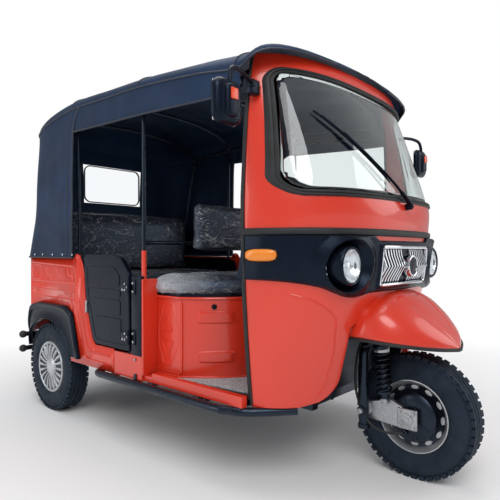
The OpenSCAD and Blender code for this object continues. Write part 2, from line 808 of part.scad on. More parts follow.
// X, half width, lower edge, seam and crown heights of each roof section
roof_rows = [
  [-300, canopy_half - 210, 1690, 1702, 1722],
  [-276, canopy_half - 130, 1698, 1710, 1780],
  [-205, canopy_half - 58, 1710, 1722, 1845],
  [-90, canopy_half - 18, 1724, 1736, 1890],
  [90, canopy_half, 1750, 1766, 1918],
  [328, canopy_half, 1775, 1790, 1927],
  [332, canopy_half, 1660, 1790, 1927],
  [650, canopy_half, 1650, 1784, 1917],
  [1000, canopy_half, 1641, 1775, 1900],
  [1400, canopy_half, 1622, 1740, 1876],
  [cab_rear_x - 5, canopy_half - 4, 1612, 1712, 1858],
  [cab_rear_x - 1, canopy_half - 4, 1700, 1716, 1857],
  [nose_x - 314, canopy_half - 30, 1745, 1762, 1850],
  [nose_x - 244, canopy_half - 110, 1762, 1778, 1838],
  [nose_x - 199, canopy_half - 290, 1775, 1788, 1822],
  [nose_x - 178, canopy_half - 520, 1784, 1794, 1808]];

function roof_arc(r, inset, drop, shift) =
  let (w = r[1] - inset, zs = r[3] - (inset > 0 ? 2 : 0), zc = max(r[4] + crown_lift - inset, zs + 2))
  concat([[r[0] + shift, w, r[2] - drop]],
    [for (i = [0 : 20])
      let (t = cos(180 * i / 20))
      [r[0] + shift, w * t, zs + (zc - zs) * pow(1 - pow(abs(t), 2.4), 0.42)]],
    [[r[0] + shift, -w, r[2] - drop]]);

module roof_outer(grow = 0) {
  skin([for (i = [0 : len(roof_rows) - 1])
    roof_arc(roof_rows[i], -grow, grow, i == 0 ? -grow : i == len(roof_rows) - 1 ? grow : 0)]);
}

module canopy_roof() {
  color([0.08, 0.09, 0.13]) place() difference() {
    roof_outer();
    skin([for (i = [0 : len(roof_rows) - 1])
      roof_arc(roof_rows[i], canopy_t, 8, i == 0 ? -2 : i == len(roof_rows) - 1 ? -8 : 0)]);
    cab_trim(skin_gap);
  }
}

// Height, rear face X, corner radius and half width of each rear level
rear_rows = [
  [944, tail_x, 140, canopy_half],
  [1090, tail_x + 20, 170, canopy_half - 4],
  [1200, tail_x + 36, 190, canopy_half - 7],
  [1400, tail_x + 40, 205, canopy_half - 8],
  [1620, tail_x + 44, 215, canopy_half - 10],
  [1738, tail_x + 54, 230, canopy_half - 12]];

function rear_ring(r, inset, ahead = 0) =
  let (w = r[3] - inset, x = r[1] + inset, c = max(r[2] - inset, 10), h = 330 + ahead, e = canopy_half - inset)
  concat([[h, e, r[0]]],
    [for (i = [0 : 6]) [x + c - c * sin(15 * i), w - c + c * cos(15 * i), r[0]]],
    [for (i = [6 : -1 : 0]) [x + c - c * sin(15 * i), -w + c - c * cos(15 * i), r[0]]],
    [[h, -e, r[0]]]);

// Solid inside the rear canopy at a depth from its outer face
module rear_core(inset) {
  rings = [for (r = rear_rows) rear_ring(r, inset, 10)];
  first = [for (p = rings[0]) [p[0], p[1], p[2] - 1]];
  last = [for (p = rings[len(rings) - 1]) [p[0], p[1], p[2] + 1]];
  skin(concat([first], rings, [last]));
}

module canopy_rear() {
  color([0.08, 0.09, 0.13]) place() difference() {
    skin([for (r = rear_rows) rear_ring(r, 0)]);
    rear_core(canopy_t);
    roof_outer(skin_gap);
    window_block(0);
  }
}

module window_block(out) {
  translate([-420, 0, 0]) rotate([90, 0, 90]) linear_extrude(140)
    polygon(round_poly([[-228 - out, 1343 - out], [228 + out, 1343 - out], [228 + out, 1597 + out], [-228 - out, 1597 + out]],
      [30, 30, 30, 30]));
}

module rear_window() {
  color([0.8, 0.85, 0.88, 0.3]) place() intersection() {
    difference() {
      rear_core(4);
      rear_core(7);
    }
    window_block(-seat_gap);
  }
}

module left_curtain() {
  color([0.08, 0.09, 0.13]) place() difference() {
    side_plate(round_poly([[330 + seat_gap, 985], [930, 985], [930, 1655], [330 + seat_gap, 1670]], [4, 40, 20, 4]),
      canopy_half - 10, canopy_half - 2);
    roof_outer(skin_gap);
  }
}

// X, rail height and crown height of each roof bow
bow_rows = [[-80, 1702, 1855], [320, 1745, 1895], [pole_x, 1712, 1870],
  [cab_rear_x - 35, 1655, 1828]];

module canopy_frame() {
  color([0.04, 0.04, 0.045]) place() {
    for (b = bow_rows)
      tube_path([for (i = [0 : 8]) let (t = cos(180 * i / 8))
        [b[0], pole_y * t, b[1] + (b[2] - b[1] + crown_lift) * pow(1 - pow(abs(t), 2.4), 0.55)]],
        tube_r, [1, 0, 0]);
    both_sides() {
      tube_path([for (b = bow_rows) [b[0], pole_y, b[1]]], tube_r);
      rod([pole_x, pole_y, floor_z], [pole_x, pole_y, 1712], tube_r);
      rod([320, pole_y - 15, 700], [320, pole_y, 1745], tube_r);
      rod([-240, pole_y - 60, 700], [bow_rows[0][0], pole_y, bow_rows[0][1]], tube_r);
    }
    rod([pole_x, -pole_y, 1022], [pole_x, pole_y, 1022], tube_r);
    for (y = [-240, 240]) translate([pole_x - 2, y - 20, 1010]) cube([25, 40, 190]);
  }
}

module side_steps() {
  color([0.04, 0.04, 0.045]) place() both_sides() {
    tube_path([[575, body_half - 30, 330], [590, body_half + 12, 326], [1500, body_half + 12, 326],
      [1640, body_half - 40, 326], [well_rear_x + 15, body_half - 190, 326]], 13);
    for (x = [930, 1420]) rod([x, body_half - 60, floor_z - floor_t - 9.5], [x, body_half + 10, 326], 9);
  }
}

module rear_bumper() {
  color([0.04, 0.04, 0.045]) place() {
    for (z = bumper_z) {
      rod([bumper_x, -body_half + 25, z], [bumper_x, body_half - 25, z], bumper_r);
      both_sides() translate([bumper_x, rail_y - 15, z - 12]) cube([60, 30, 24]);
    }
    both_sides() translate([-352, rail_y - 15, bumper_z[0] - 12]) cube([12, 30, bumper_z[1] - bumper_z[0] + 24]);
    difference() {
      side_plate([[-427, 352], [-335, 352], [-335, 440], [-372, 440], [-372, 392], [-427, 392]], -6, 6);
      y_cyl(-400, -7, 7, 372, tow_bore_r);
    }
  }
}

module rubber_buffers() {
  color([0.03, 0.03, 0.03]) place() both_sides() for (z = bumper_z)
    difference() {
      translate([bumper_x, body_half - 25, z]) sphere(r = 25);
      y_cyl(bumper_x, body_half - 60, body_half - 25 + seat_gap, z, bumper_r + seat_gap);
    }
}

module steering_fork() {
  color([0.05, 0.05, 0.055]) place() {
    steering_axis() translate([0, 0, -20]) cylinder(r = column_r, h = column_top + 20);
    tube_path([[steer_x + 5, 0, steer_z - 14], [steer_x + 2, -62, steer_z - 20],
      [pivot_x, -stem_y, steer_z - 60], [pivot_x, -stem_y, wheel_z - 65.5]], 22, [1, 0, 0]);
    rod([pivot_x, -stem_y, steer_z - 40], [shock_top[0], -stem_y, shock_top[1]], shock_eye_r - 3);
    y_cyl(shock_top[0], -stem_y - 20, -stem_y + 20, shock_top[1], shock_eye_r);
    y_cyl(pivot_x, -stem_y - 30, -70, pivot_z, 14);
  }
}

module handlebar() {
  color([0.05, 0.05, 0.055]) place() {
    tube_path([[axis_x(1150) - 95, -340, 1150], [axis_x(1150) - 60, -230, 1160], [axis_x(1150), -110, 1140],
      [axis_x(1150), 110, 1140], [axis_x(1150) - 60, 230, 1160], [axis_x(1150) - 95, 340, 1150]], 12);
    difference() {
      translate([axis_x(1150) - 45, -80, 1120]) cube([90, 160, 50]);
      steering_axis() cylinder(r = column_r + seat_gap, h = column_top + seat_gap);
    }
  }
}

module suspension_arm() {
  color([0.62, 0.62, 0.64]) place() {
    difference() {
      hull() {
        y_cyl(pivot_x, -96, -72, pivot_z, 28);
        y_cyl(wheelbase, -96, -72, wheel_z, 36);
      }
      y_cyl(pivot_x, -97, -71, pivot_z, 14);
    }
    translate([wheelbase - 42, -104, wheel_z - 42]) cube([84, 10, 84]);
    y_cyl(wheelbase, -74, 44, wheel_z, front_axle_r);
    y_cyl(wheelbase, 35, 48, wheel_z, front_axle_r + 7);
    y_cyl(shock_low[0], -stem_y - 16, -90, shock_low[1], shock_pin_r);
    translate([shock_low[0] - 15, -98, wheel_z + 19.5]) cube([30, 20, 55]);
  }
}

spring_turns = 8;
spring_r = 29;
wire_r = 4.5;

module shock_absorber() {
  a = [shock_low[0], -stem_y, shock_low[1]];
  b = [shock_top[0], -stem_y, shock_top[1]];
  d = b - a;
  l = norm(d);
  color([0.06, 0.06, 0.065]) place() difference() {
    translate(a) rotate([0, acos(d[2] / l), atan2(d[1], d[0])]) {
      cylinder(r = 17, h = 150);
      cylinder(r = 8, h = l);
      translate([0, 0, 26]) cylinder(r = 36, h = 8);
      translate([0, 0, l - 40]) cylinder(r = 36, h = 10);
      translate([0, 0, 34]) coil(l - 74);
    }
    y_cyl(b[0], -stem_y - 40, -stem_y + 40, b[2], shock_eye_r + 2 + seat_gap);
    y_cyl(a[0], -stem_y - 40, -stem_y + 40, a[2], shock_pin_r + seat_gap);
  }
}

module coil(h) {
  steps = spring_turns * 14;
  skin([for (i = [0 : steps])
    let (a = 360 * spring_turns * i / steps, z = wire_r - 1 + (h - 2 * wire_r + 2) * i / steps)
    [for (j = [0 : 5]) let (b = -60 * j)
      [(spring_r + wire_r * cos(b)) * cos(a), (spring_r + wire_r * cos(b)) * sin(a), z + wire_r * sin(b)]]]);
}

module brake_plate() {
  color([0.05, 0.05, 0.055]) place()
    difference() {
      y_cyl(wheelbase, -72, -52, wheel_z, 108);
      y_cyl(wheelbase, -80, -58, wheel_z, 98);
      y_cyl(wheelbase, -90, -40, wheel_z, front_axle_r + seat_gap);
    }
}

module tyre() {
  h = tyre_width / 2;
  s = rim_width / 2;
  rotate([90, 0, 0]) rotate_extrude($fn = 72) polygon([
    [rim_radius, -s + 1], [rim_radius + 16, -s + 1], [rim_radius + 22, -h + 6], [tyre_r - 62, -h],
    [tyre_r - 40, -h], [tyre_r - 18, -h + 4], [tyre_r - 7, -h + 15], [tyre_r - 1, -h + 34], [tyre_r, 0],
    [tyre_r - 1, h - 34], [tyre_r - 7, h - 15], [tyre_r - 18, h - 4], [tyre_r - 40, h],
    [tyre_r - 62, h], [rim_radius + 22, h - 6], [rim_radius + 16, s - 1], [rim_radius, s - 1]]);
}

module rim(bore_r, disc_y, drum_side) {
  s = rim_width / 2;
  rotate([90, 0, 0]) difference() {
    union() {
      rotate_extrude($fn = 72) polygon([
        [rim_radius, -s + 1], [rim_radius + 14, -s], [rim_radius + 14, -s - 5], [rim_radius - 6, -s - 5],
        [rim_radius - 12, -s + 14], [rim_radius - 12, s - 14], [rim_radius - 6, s + 5],
        [rim_radius + 14, s + 5], [rim_radius + 14, s], [rim_radius, s - 1]]);
      translate([0, 0, disc_y]) cylinder(r = rim_radius - 8, h = 7);
      translate([0, 0, -30]) cylinder(r = 34, h = 58);
      difference() {
        translate([0, 0, drum_side > 0 ? disc_y : -s + 6]) cylinder(r = 104, h = s - 6 - disc_y * drum_side);
        translate([0, 0, drum_side > 0 ? disc_y + 7 : -s]) cylinder(r = 96, h = s - disc_y * drum_side - 7);
      }
    }
    translate([0, 0, -100]) cylinder(r = bore_r + run_fit, h = 200);
    for (i = [0 : 11]) rotate([0, 0, 30 * i]) translate([124, 0, disc_y - 1]) cylinder(r = 9, h = 9, $fn = 24);
  }
}

module front_tyre() {
  color([0.07, 0.07, 0.07]) place() translate([wheelbase, 0, wheel_z]) tyre();
}

module front_rim() {
  color([0.75, 0.76, 0.78]) place() translate([wheelbase, 0, wheel_z]) rim(front_axle_r, -8, 1);
}

module rear_tyre(side) {
  color([0.07, 0.07, 0.07]) place() translate([0, side * track_y, wheel_z]) tyre();
}

module rear_rim(side) {
  color([0.7, 0.71, 0.73]) place() translate([0, side * track_y, wheel_z]) rim(rear_axle_r, -4, side);
}

// Domed wheel trim with narrow radial openings
module hubcap(side) {
  color([0.78, 0.79, 0.81]) place() translate([0, side * track_y, wheel_z]) rotate([-90 * side, 0, 0])
    difference() {
      rotate_extrude($fn = 72) polygon([[0, 62], [38, 61], [60, 53], [140, 58], [rim_radius + 12, 60],
        [rim_radius + 12, 55 + seat_gap], [rim_radius - 12, 55 + seat_gap], [136, 52], [60, 48], [36, 56], [0, 57]]);
      for (i = [0 : 19]) rotate([0, 0, 18 * i]) translate([68, -5, 40]) cube([64, 10, 30]);
    }
}

module rear_tyre_right() { rear_tyre(-1); }
module rear_tyre_left() { rear_tyre(1); }
module rear_rim_right() { rear_rim(-1); }
module rear_rim_left() { rear_rim(1); }
module hubcap_right() { hubcap(-1); }
module hubcap_left() { hubcap(1); }

// Outline of the half door, drawn in from the panel edge behind it
door_pts = concat([for (p = door_edge) if (p[0] > 430) [p[0] + door_gap, p[1] + (p[1] < 480 ? door_gap : 0)]],
  [[hinge_x - 9, 472 + door_gap], [hinge_x - 13, 858], [hinge_x - 88, 944], [hinge_x - 155, 965], [456, 965]]);

module half_door() {
  color([0.04, 0.04, 0.045]) place() {
    difference() {
      side_plate(door_pts, door_y, door_face_y);
      side_plate([[483, 862], [511, 905], [hinge_x - 163, 903], [hinge_x - 50, 845], [hinge_x - 50, 518], [581, 518],
        [516, 640]], door_face_y - 7, door_face_y + 1);
    }
    for (p = [[520, 828, 872, 80], [548, 742, 795, 50], [570, 646, 696, 50], [594, 540, 600, 50]])
      translate([p[0], door_y + 5, p[1]]) cube([hinge_x - p[3] - 10 - p[0], door_t - 8, p[2] - p[1]]);
    for (z = hinge_heights) translate([0, 0, z - 20]) difference() {
      union() {
        translate([hinge_x, hinge_y, 0]) cylinder(r = 9, h = 40);
        translate([hinge_x - 75, hinge_y - 10.5, 0]) cube([75, 6, 40]);
      }
      translate([hinge_x, hinge_y, -1]) cylinder(r = pin_r + run_fit, h = 42);
    }
  }
}

module door_left() { half_door(); }
module door_right() { mirror([0, 1, 0]) half_door(); }

chassis_rails();
cross_members();
rear_axle();
leaf_springs();
floor_pan();
floor_mat();
wheelhouses();
quarter_panels();
tail_panel();
tail_lamps();
arch_flares();
sill_panels();
door_posts();
door_seals();
cab_cowl();
cab_upper();
belt_trim();
wheel_well();
nose_mask();
headlamps();
grille();
side_markers();
windshield_gasket();
windshield_glass();
wiper();
mirrors();
front_fender();
dashboard();
seat_box();
battery_pack();
driver_backrest();
bench_base();
bench_cushion();
bench_backrest();
canopy_frame();
canopy_roof();
canopy_rear();
rear_window();
left_curtain();
side_steps();
rear_bumper();
rubber_buffers();
steering_fork();
handlebar();
suspension_arm();
shock_absorber();
brake_plate();
front_rim();
front_tyre();
rear_rim_right();
rear_tyre_right();
hubcap_right();
rear_rim_left();
rear_tyre_left();
hubcap_left();
door_right();
door_left();
seat_lid();
driver_cushion();
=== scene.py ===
import math
import random

import bmesh
import bpy
from mathutils import Matrix, Vector, noise


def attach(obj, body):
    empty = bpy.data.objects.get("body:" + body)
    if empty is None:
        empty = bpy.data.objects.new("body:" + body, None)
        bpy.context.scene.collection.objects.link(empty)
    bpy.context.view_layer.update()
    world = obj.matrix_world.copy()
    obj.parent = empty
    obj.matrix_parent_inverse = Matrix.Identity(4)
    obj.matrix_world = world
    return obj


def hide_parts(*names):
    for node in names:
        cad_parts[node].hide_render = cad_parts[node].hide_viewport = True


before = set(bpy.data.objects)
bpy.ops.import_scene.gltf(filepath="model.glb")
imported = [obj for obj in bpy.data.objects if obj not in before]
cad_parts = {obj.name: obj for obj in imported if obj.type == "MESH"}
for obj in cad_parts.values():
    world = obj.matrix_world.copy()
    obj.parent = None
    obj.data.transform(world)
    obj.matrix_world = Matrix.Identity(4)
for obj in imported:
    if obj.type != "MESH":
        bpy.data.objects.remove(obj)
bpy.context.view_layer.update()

bl_info = {
    "name": "Electric rickshaw",
    "version": (1, 0, 0),
    "blender": (4, 5, 0),
    "location": "View3D > Sidebar > Rickshaw",
    "description": "Dresses the packed rickshaw frame with its finished pieces",
    "category": "Object",
}

# Millimetres from the rear axle to the middle of the row frame
MID = 962.75
BODY, STEERING, FRONT_WHEEL = "body", "steering", "front_wheel"
WHEELBASE, TRACK, WHEEL_R = 2090.0, 580.0, 265.5


# ---------------------------------------------------------------- add-on
def linear(hexcode, alpha=1.0):
    """Linear colour from an sRGB hex code, or from a linear colour as it is."""
    if not isinstance(hexcode, str):
        return [*hexcode[:3], alpha]
    c = [int(hexcode[i:i + 2], 16) / 255 for i in (1, 3, 5)]
    return [v / 12.92 if v <= 0.04045 else ((v + 0.055) / 1.055) ** 2.4 for v in c] + [alpha]


def colour_setting(name, about, hexcode):
    return bpy.props.FloatVectorProperty(name=name, description=about, subtype="COLOR", size=3, min=0, max=1,
                                         default=linear(hexcode)[:3])


class RickshawSettings(bpy.types.PropertyGroup):
    paint: colour_setting("Body paint", "Enamel of the cab, body and seat box", "#D4321A")
    moulding: colour_setting("Mouldings", "Black mask, doors and arch mouldings", "#060A14")
    canvas: colour_setting("Canopy cloth", "Coated cloth of the roof and its sides", "#11223A")
    vinyl: colour_setting("Seat covers", "Embossed leathercloth of the seats", "#0A111F")
    step_radius: bpy.props.FloatProperty(name="Side step tube", description="Radius of the tube under each doorway",
                                         default=0.019, min=0.01, max=0.025, unit="LENGTH")
    pole_radius: bpy.props.FloatProperty(name="Lower poles", description="Radius of the painted pole beside each door",
                                         default=0.0125, min=0.008, max=0.02, unit="LENGTH")
    skin: bpy.props.FloatProperty(name="Body sheet", description="Thickness of the rear body's pressed sheet",
                                  default=0.004, min=0.001, max=0.008, unit="LENGTH")


# ---------------------------------------------------------------- geometry helpers
def at(x, y, z):
    """Point in the row frame from millimetres measured from the rear axle."""
    return Vector(((x - MID) / 1000, y / 1000, z / 1000))


def hermite(table, x, col):
    """Smooth value of a table column at x, the first column being the place."""
    if x <= table[0][0]:
        return table[0][col]
    if x >= table[-1][0]:
        return table[-1][col]
    i = max(k for k in range(len(table) - 1) if table[k][0] <= x)

    def slope(k):
        lo, hi = max(k - 1, 0), min(k + 1, len(table) - 1)
        return (table[hi][col] - table[lo][col]) / (table[hi][0] - table[lo][0])

    a, b = table[i], table[i + 1]
    h = b[0] - a[0]
    t = (x - a[0]) / h
    return ((2 * t**3 - 3 * t**2 + 1) * a[col] + (t**3 - 2 * t**2 + t) * h * slope(i)
            + (3 * t**2 - 2 * t**3) * b[col] + (t**3 - t**2) * h * slope(i + 1))


def add_loop(bm, points, closed=True):
    verts = [bm.verts.new(p) for p in points]
    n = len(verts)
    return [bm.edges.new((verts[i], verts[(i + 1) % n])) for i in range(n if closed else n - 1)]


def bridge(bm, rings, closed=True, cap=False):
    """Skin through loops of points."""
    loops = [add_loop(bm, r, closed) for r in rings]
    for a, b in zip(loops, loops[1:]):
        bmesh.ops.bridge_loops(bm, edges=a + b)
    if cap:
        for loop in (loops[0], loops[-1]):
            bmesh.ops.holes_fill(bm, edges=loop, sides=0)
    return loops


def resample(points, n, closed=False):
    """n points at even spacing along a polyline (n + 1 when open)."""
    pts = list(points) + ([points[0]] if closed else [])
    run = [0.0]
    for a, b in zip(pts, pts[1:]):
        run.append(run[-1] + (Vector(b) - Vector(a)).length)
    out, k = [], 0
    for i in range(n if closed else n + 1):
        s = run[-1] * i / n
        while k < len(pts) - 2 and run[k + 1] < s:
            k += 1
        d = run[k + 1] - run[k] or 1
        out.append(Vector(pts[k]).lerp(Vector(pts[k + 1]), min(max((s - run[k]) / d, 0), 1)))
    return out


def tube(bm, points, r, sides=12, closed=False, flat=1.0, cap=True):
    """Round tube swept along points; r is a number or one radius per point."""
    pts = [Vector(p) for p in points]
    n = len(pts)
    up = Vector((0, 0, 1))
    rings, last = [], None
    for i, p in enumerate(pts):
        a = pts[(i - 1) % n] if closed else pts[max(i - 1, 0)]
        b = pts[(i + 1) % n] if closed else pts[min(i + 1, n - 1)]
        d = (b - a).normalized()
        side = (last - d * last.dot(d)) if last else (d.cross(up) if abs(d.z) < 0.9 else d.cross(Vector((0, 1, 0))))
        side.normalize()
        last = side
        top = side.cross(d)
        rr = r[i] if hasattr(r, "__len__") else r
        rings.append([p + side * rr * math.cos(t) + top * rr * flat * math.sin(t)
                      for t in (2 * math.pi * j / sides for j in range(sides))])
    loops = bridge(bm, rings, cap=cap and not closed)
    if closed:
        bmesh.ops.bridge_loops(bm, edges=loops[0] + loops[-1])


def smooth_path(points, n):
    """Catmull-Rom curve of n pieces per run through points."""
    p = [Vector(q) for q in points]
    p = [p[0] * 2 - p[1]] + p + [p[-1] * 2 - p[-2]]
    out = []
    for i in range(1, len(p) - 2):
        for k in range(n):
            t = k / n
            out.append(0.5 * (2 * p[i] + (p[i + 1] - p[i - 1]) * t
                              + (2 * p[i - 1] - 5 * p[i] + 4 * p[i + 1] - p[i + 2]) * t * t
                              + (3 * p[i] - p[i - 1] - 3 * p[i + 1] + p[i + 2]) * t**3))
    out.append(p[-2])
    return out


def block(bm, lo, hi, bevel=0.0, segments=2):
    """Box between two corners in vehicle millimetres, its edges rounded by bevel."""
    lo, hi = at(*lo), at(*hi)
    made = bmesh.ops.create_cube(bm, size=1, matrix=Matrix.Translation((lo + hi) / 2)
                                 @ Matrix.Diagonal((*(hi - lo), 1)))
    if bevel:
        edges = list({e for v in made["verts"] for e in v.link_edges})
        bmesh.ops.bevel(bm, geom=edges, offset=bevel / 1000, offset_type="OFFSET", segments=segments,
                        profile=0.5, affect="EDGES", material=-1)


def disc(bm, centre, axis, r, depth, bevel=0.0, sides=32, r2=None):
    """Short cylinder centred on a point in vehicle millimetres."""
    turn = Vector((0, 0, 1)).rotation_difference(Vector(axis)).to_matrix().to_4x4()
    made = bmesh.ops.create_cone(bm, cap_ends=True, segments=sides, radius1=r / 1000,
                                 radius2=(r if r2 is None else r2) / 1000, depth=depth / 1000,
                                 matrix=Matrix.Translation(at(*centre)) @ turn)
    if bevel:
        edges = [e for e in {e for v in made["verts"] for e in v.link_edges}
                 if any(len(f.verts) > 4 for f in e.link_faces)]
        bmesh.ops.bevel(bm, geom=edges, offset=bevel / 1000, offset_type="OFFSET", segments=2,
                        profile=0.5, affect="EDGES", material=-1)


def lathe(bm, profile, centre, axis=(0, 1, 0), steps=96):
    """Profile of (radius, along axis) millimetres spun right round an axis."""
    turn = Vector((0, 0, 1)).rotation_difference(Vector(axis)).to_matrix().to_4x4()
    place = Matrix.Translation(at(*centre)) @ turn
    verts = [bm.verts.new(place @ Vector((r / 1000, 0, h / 1000))) for r, h in profile]
    edges = [bm.edges.new(pair) for pair in zip(verts, verts[1:])]
    bmesh.ops.spin(bm, geom=verts + edges, cent=place.translation, axis=turn @ Vector((0, 0, 1)),
                   angle=2 * math.pi, steps=steps, use_merge=True)


def finish_piece(name, bm, material, body, replaces=(), crease=35, solid=0.0, bevel=0.0, subsurf=0,
                 recalc=True):
    """Mesh object from a bmesh, riding on its body."""
    name = name.lower().replace(" ", "_")
    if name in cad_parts:
        name += "_dressed"
    bmesh.ops.remove_doubles(bm, verts=bm.verts, dist=1e-5)
    if recalc:
        bmesh.ops.recalc_face_normals(bm, faces=bm.faces)
    mesh = bpy.data.meshes.new(name)
    bm.to_mesh(mesh)
    bm.free()
    for p in mesh.polygons:
        p.use_smooth = True
    mesh.set_sharp_from_angle(angle=math.radians(crease))
    mesh.materials.append(material)
    ob = bpy.data.objects.new(name, mesh)
    bpy.context.scene.collection.objects.link(ob)
    if solid:
        mod = ob.modifiers.new("Thickness", "SOLIDIFY")
        mod.thickness = abs(solid)
        mod.offset = -1 if solid > 0 else 1
        mod.use_even_offset = True
    if bevel:
        mod = ob.modifiers.new("Edges", "BEVEL")
        mod.width, mod.segments, mod.limit_method, mod.angle_limit = bevel, 2, "ANGLE", math.radians(50)
    if subsurf:
        mod = ob.modifiers.new("Round", "SUBSURF")
        mod.levels = mod.render_levels = subsurf
    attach(ob, body)
    if replaces:
        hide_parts(*replaces)
    return ob


# ---------------------------------------------------------------- materials
def shade(colour, k):
    """Linear colour made darker or lighter."""
    return [c * k for c in colour[:3]] + [1.0]


def add(tree, kind, links=None, **settings):
    """A node with its settings and its links or values."""
    node = tree.nodes.new(kind)
    for key, value in settings.items():
        setattr(node, key, value)
    for socket, value in (links or {}).items():
        if isinstance(value, bpy.types.NodeSocket):
            tree.links.new(value, node.inputs[socket])
        else:
            node.inputs[socket].default_value = value
    return node


MATERIALS = {}
# Painted reflection: cool blue tint given to the highlights of dark surfaces, standing in for the cast of a blue sky
PAINTED_SKY_REFLECTION_TINT = (0.5, 0.68, 1.0, 1.0)


def start(name, colour, rough, metal=0.0, **sockets):
    m = bpy.data.materials.new(name)
    m.use_nodes = True
    m.diffuse_color = linear(colour)
    bsdf = m.node_tree.nodes["Principled BSDF"]
    bsdf.inputs["Base Color"].default_value = linear(colour)
    bsdf.inputs["Roughness"].default_value = rough
    bsdf.inputs["Metallic"].default_value = metal
    for key, value in sockets.items():
        bsdf.inputs[key.replace("_", " ")].default_value = value
    MATERIALS[name] = m
    return m.node_tree, bsdf


def grain(tree, bsdf, scale, distance, detail=3.0, strength=1.0, stretch=(1, 1, 1), prev=None, coords="Object"):
    """Bump from noise whose features are about 1/scale metres wide."""
    tc = add(tree, "ShaderNodeTexCoord")
    mp = add(tree, "ShaderNodeMapping", {"Vector": tc.outputs[coords], "Scale": stretch})
    nz = add(tree, "ShaderNodeTexNoise", {"Vector": mp.outputs[0], "Scale": scale, "Detail": detail})
    links = {"Height": nz.outputs["Fac"], "Distance": distance, "Strength": strength}
    if prev is not None:
        links["Normal"] = prev
    bump = add(tree, "ShaderNodeBump", links)
    tree.links.new(bump.outputs[0], bsdf.inputs["Normal"])
    return bump.outputs[0], nz.outputs["Fac"], mp.outputs[0]


def tint(tree, bsdf, fac, dark, light, low=0.3, high=0.7):
    """Base colour that wanders between two hex colours."""
    ramp = add(tree, "ShaderNodeMapRange", {"Value": fac, "From Min": low, "From Max": high})
    mix = add(tree, "ShaderNodeMix", {"Factor": ramp.outputs[0]}, data_type="RGBA")
    mix.inputs[6].default_value = linear(dark)
    mix.inputs[7].default_value = linear(light)
    tree.links.new(mix.outputs[2], bsdf.inputs["Base Color"])
    return mix


def rough_range(tree, bsdf, fac, low, high):
    ramp = add(tree, "ShaderNodeMapRange", {"Value": fac, "From Min": 0.3, "From Max": 0.7, "To Min": low, "To Max": high})
    tree.links.new(ramp.outputs[0], bsdf.inputs["Roughness"])


def cloud(tree, scale, detail=2.0):
    tc = add(tree, "ShaderNodeTexCoord")
    return add(tree, "ShaderNodeTexNoise", {"Vector": tc.outputs["Object"], "Scale": scale, "Detail": detail}).outputs["Fac"]


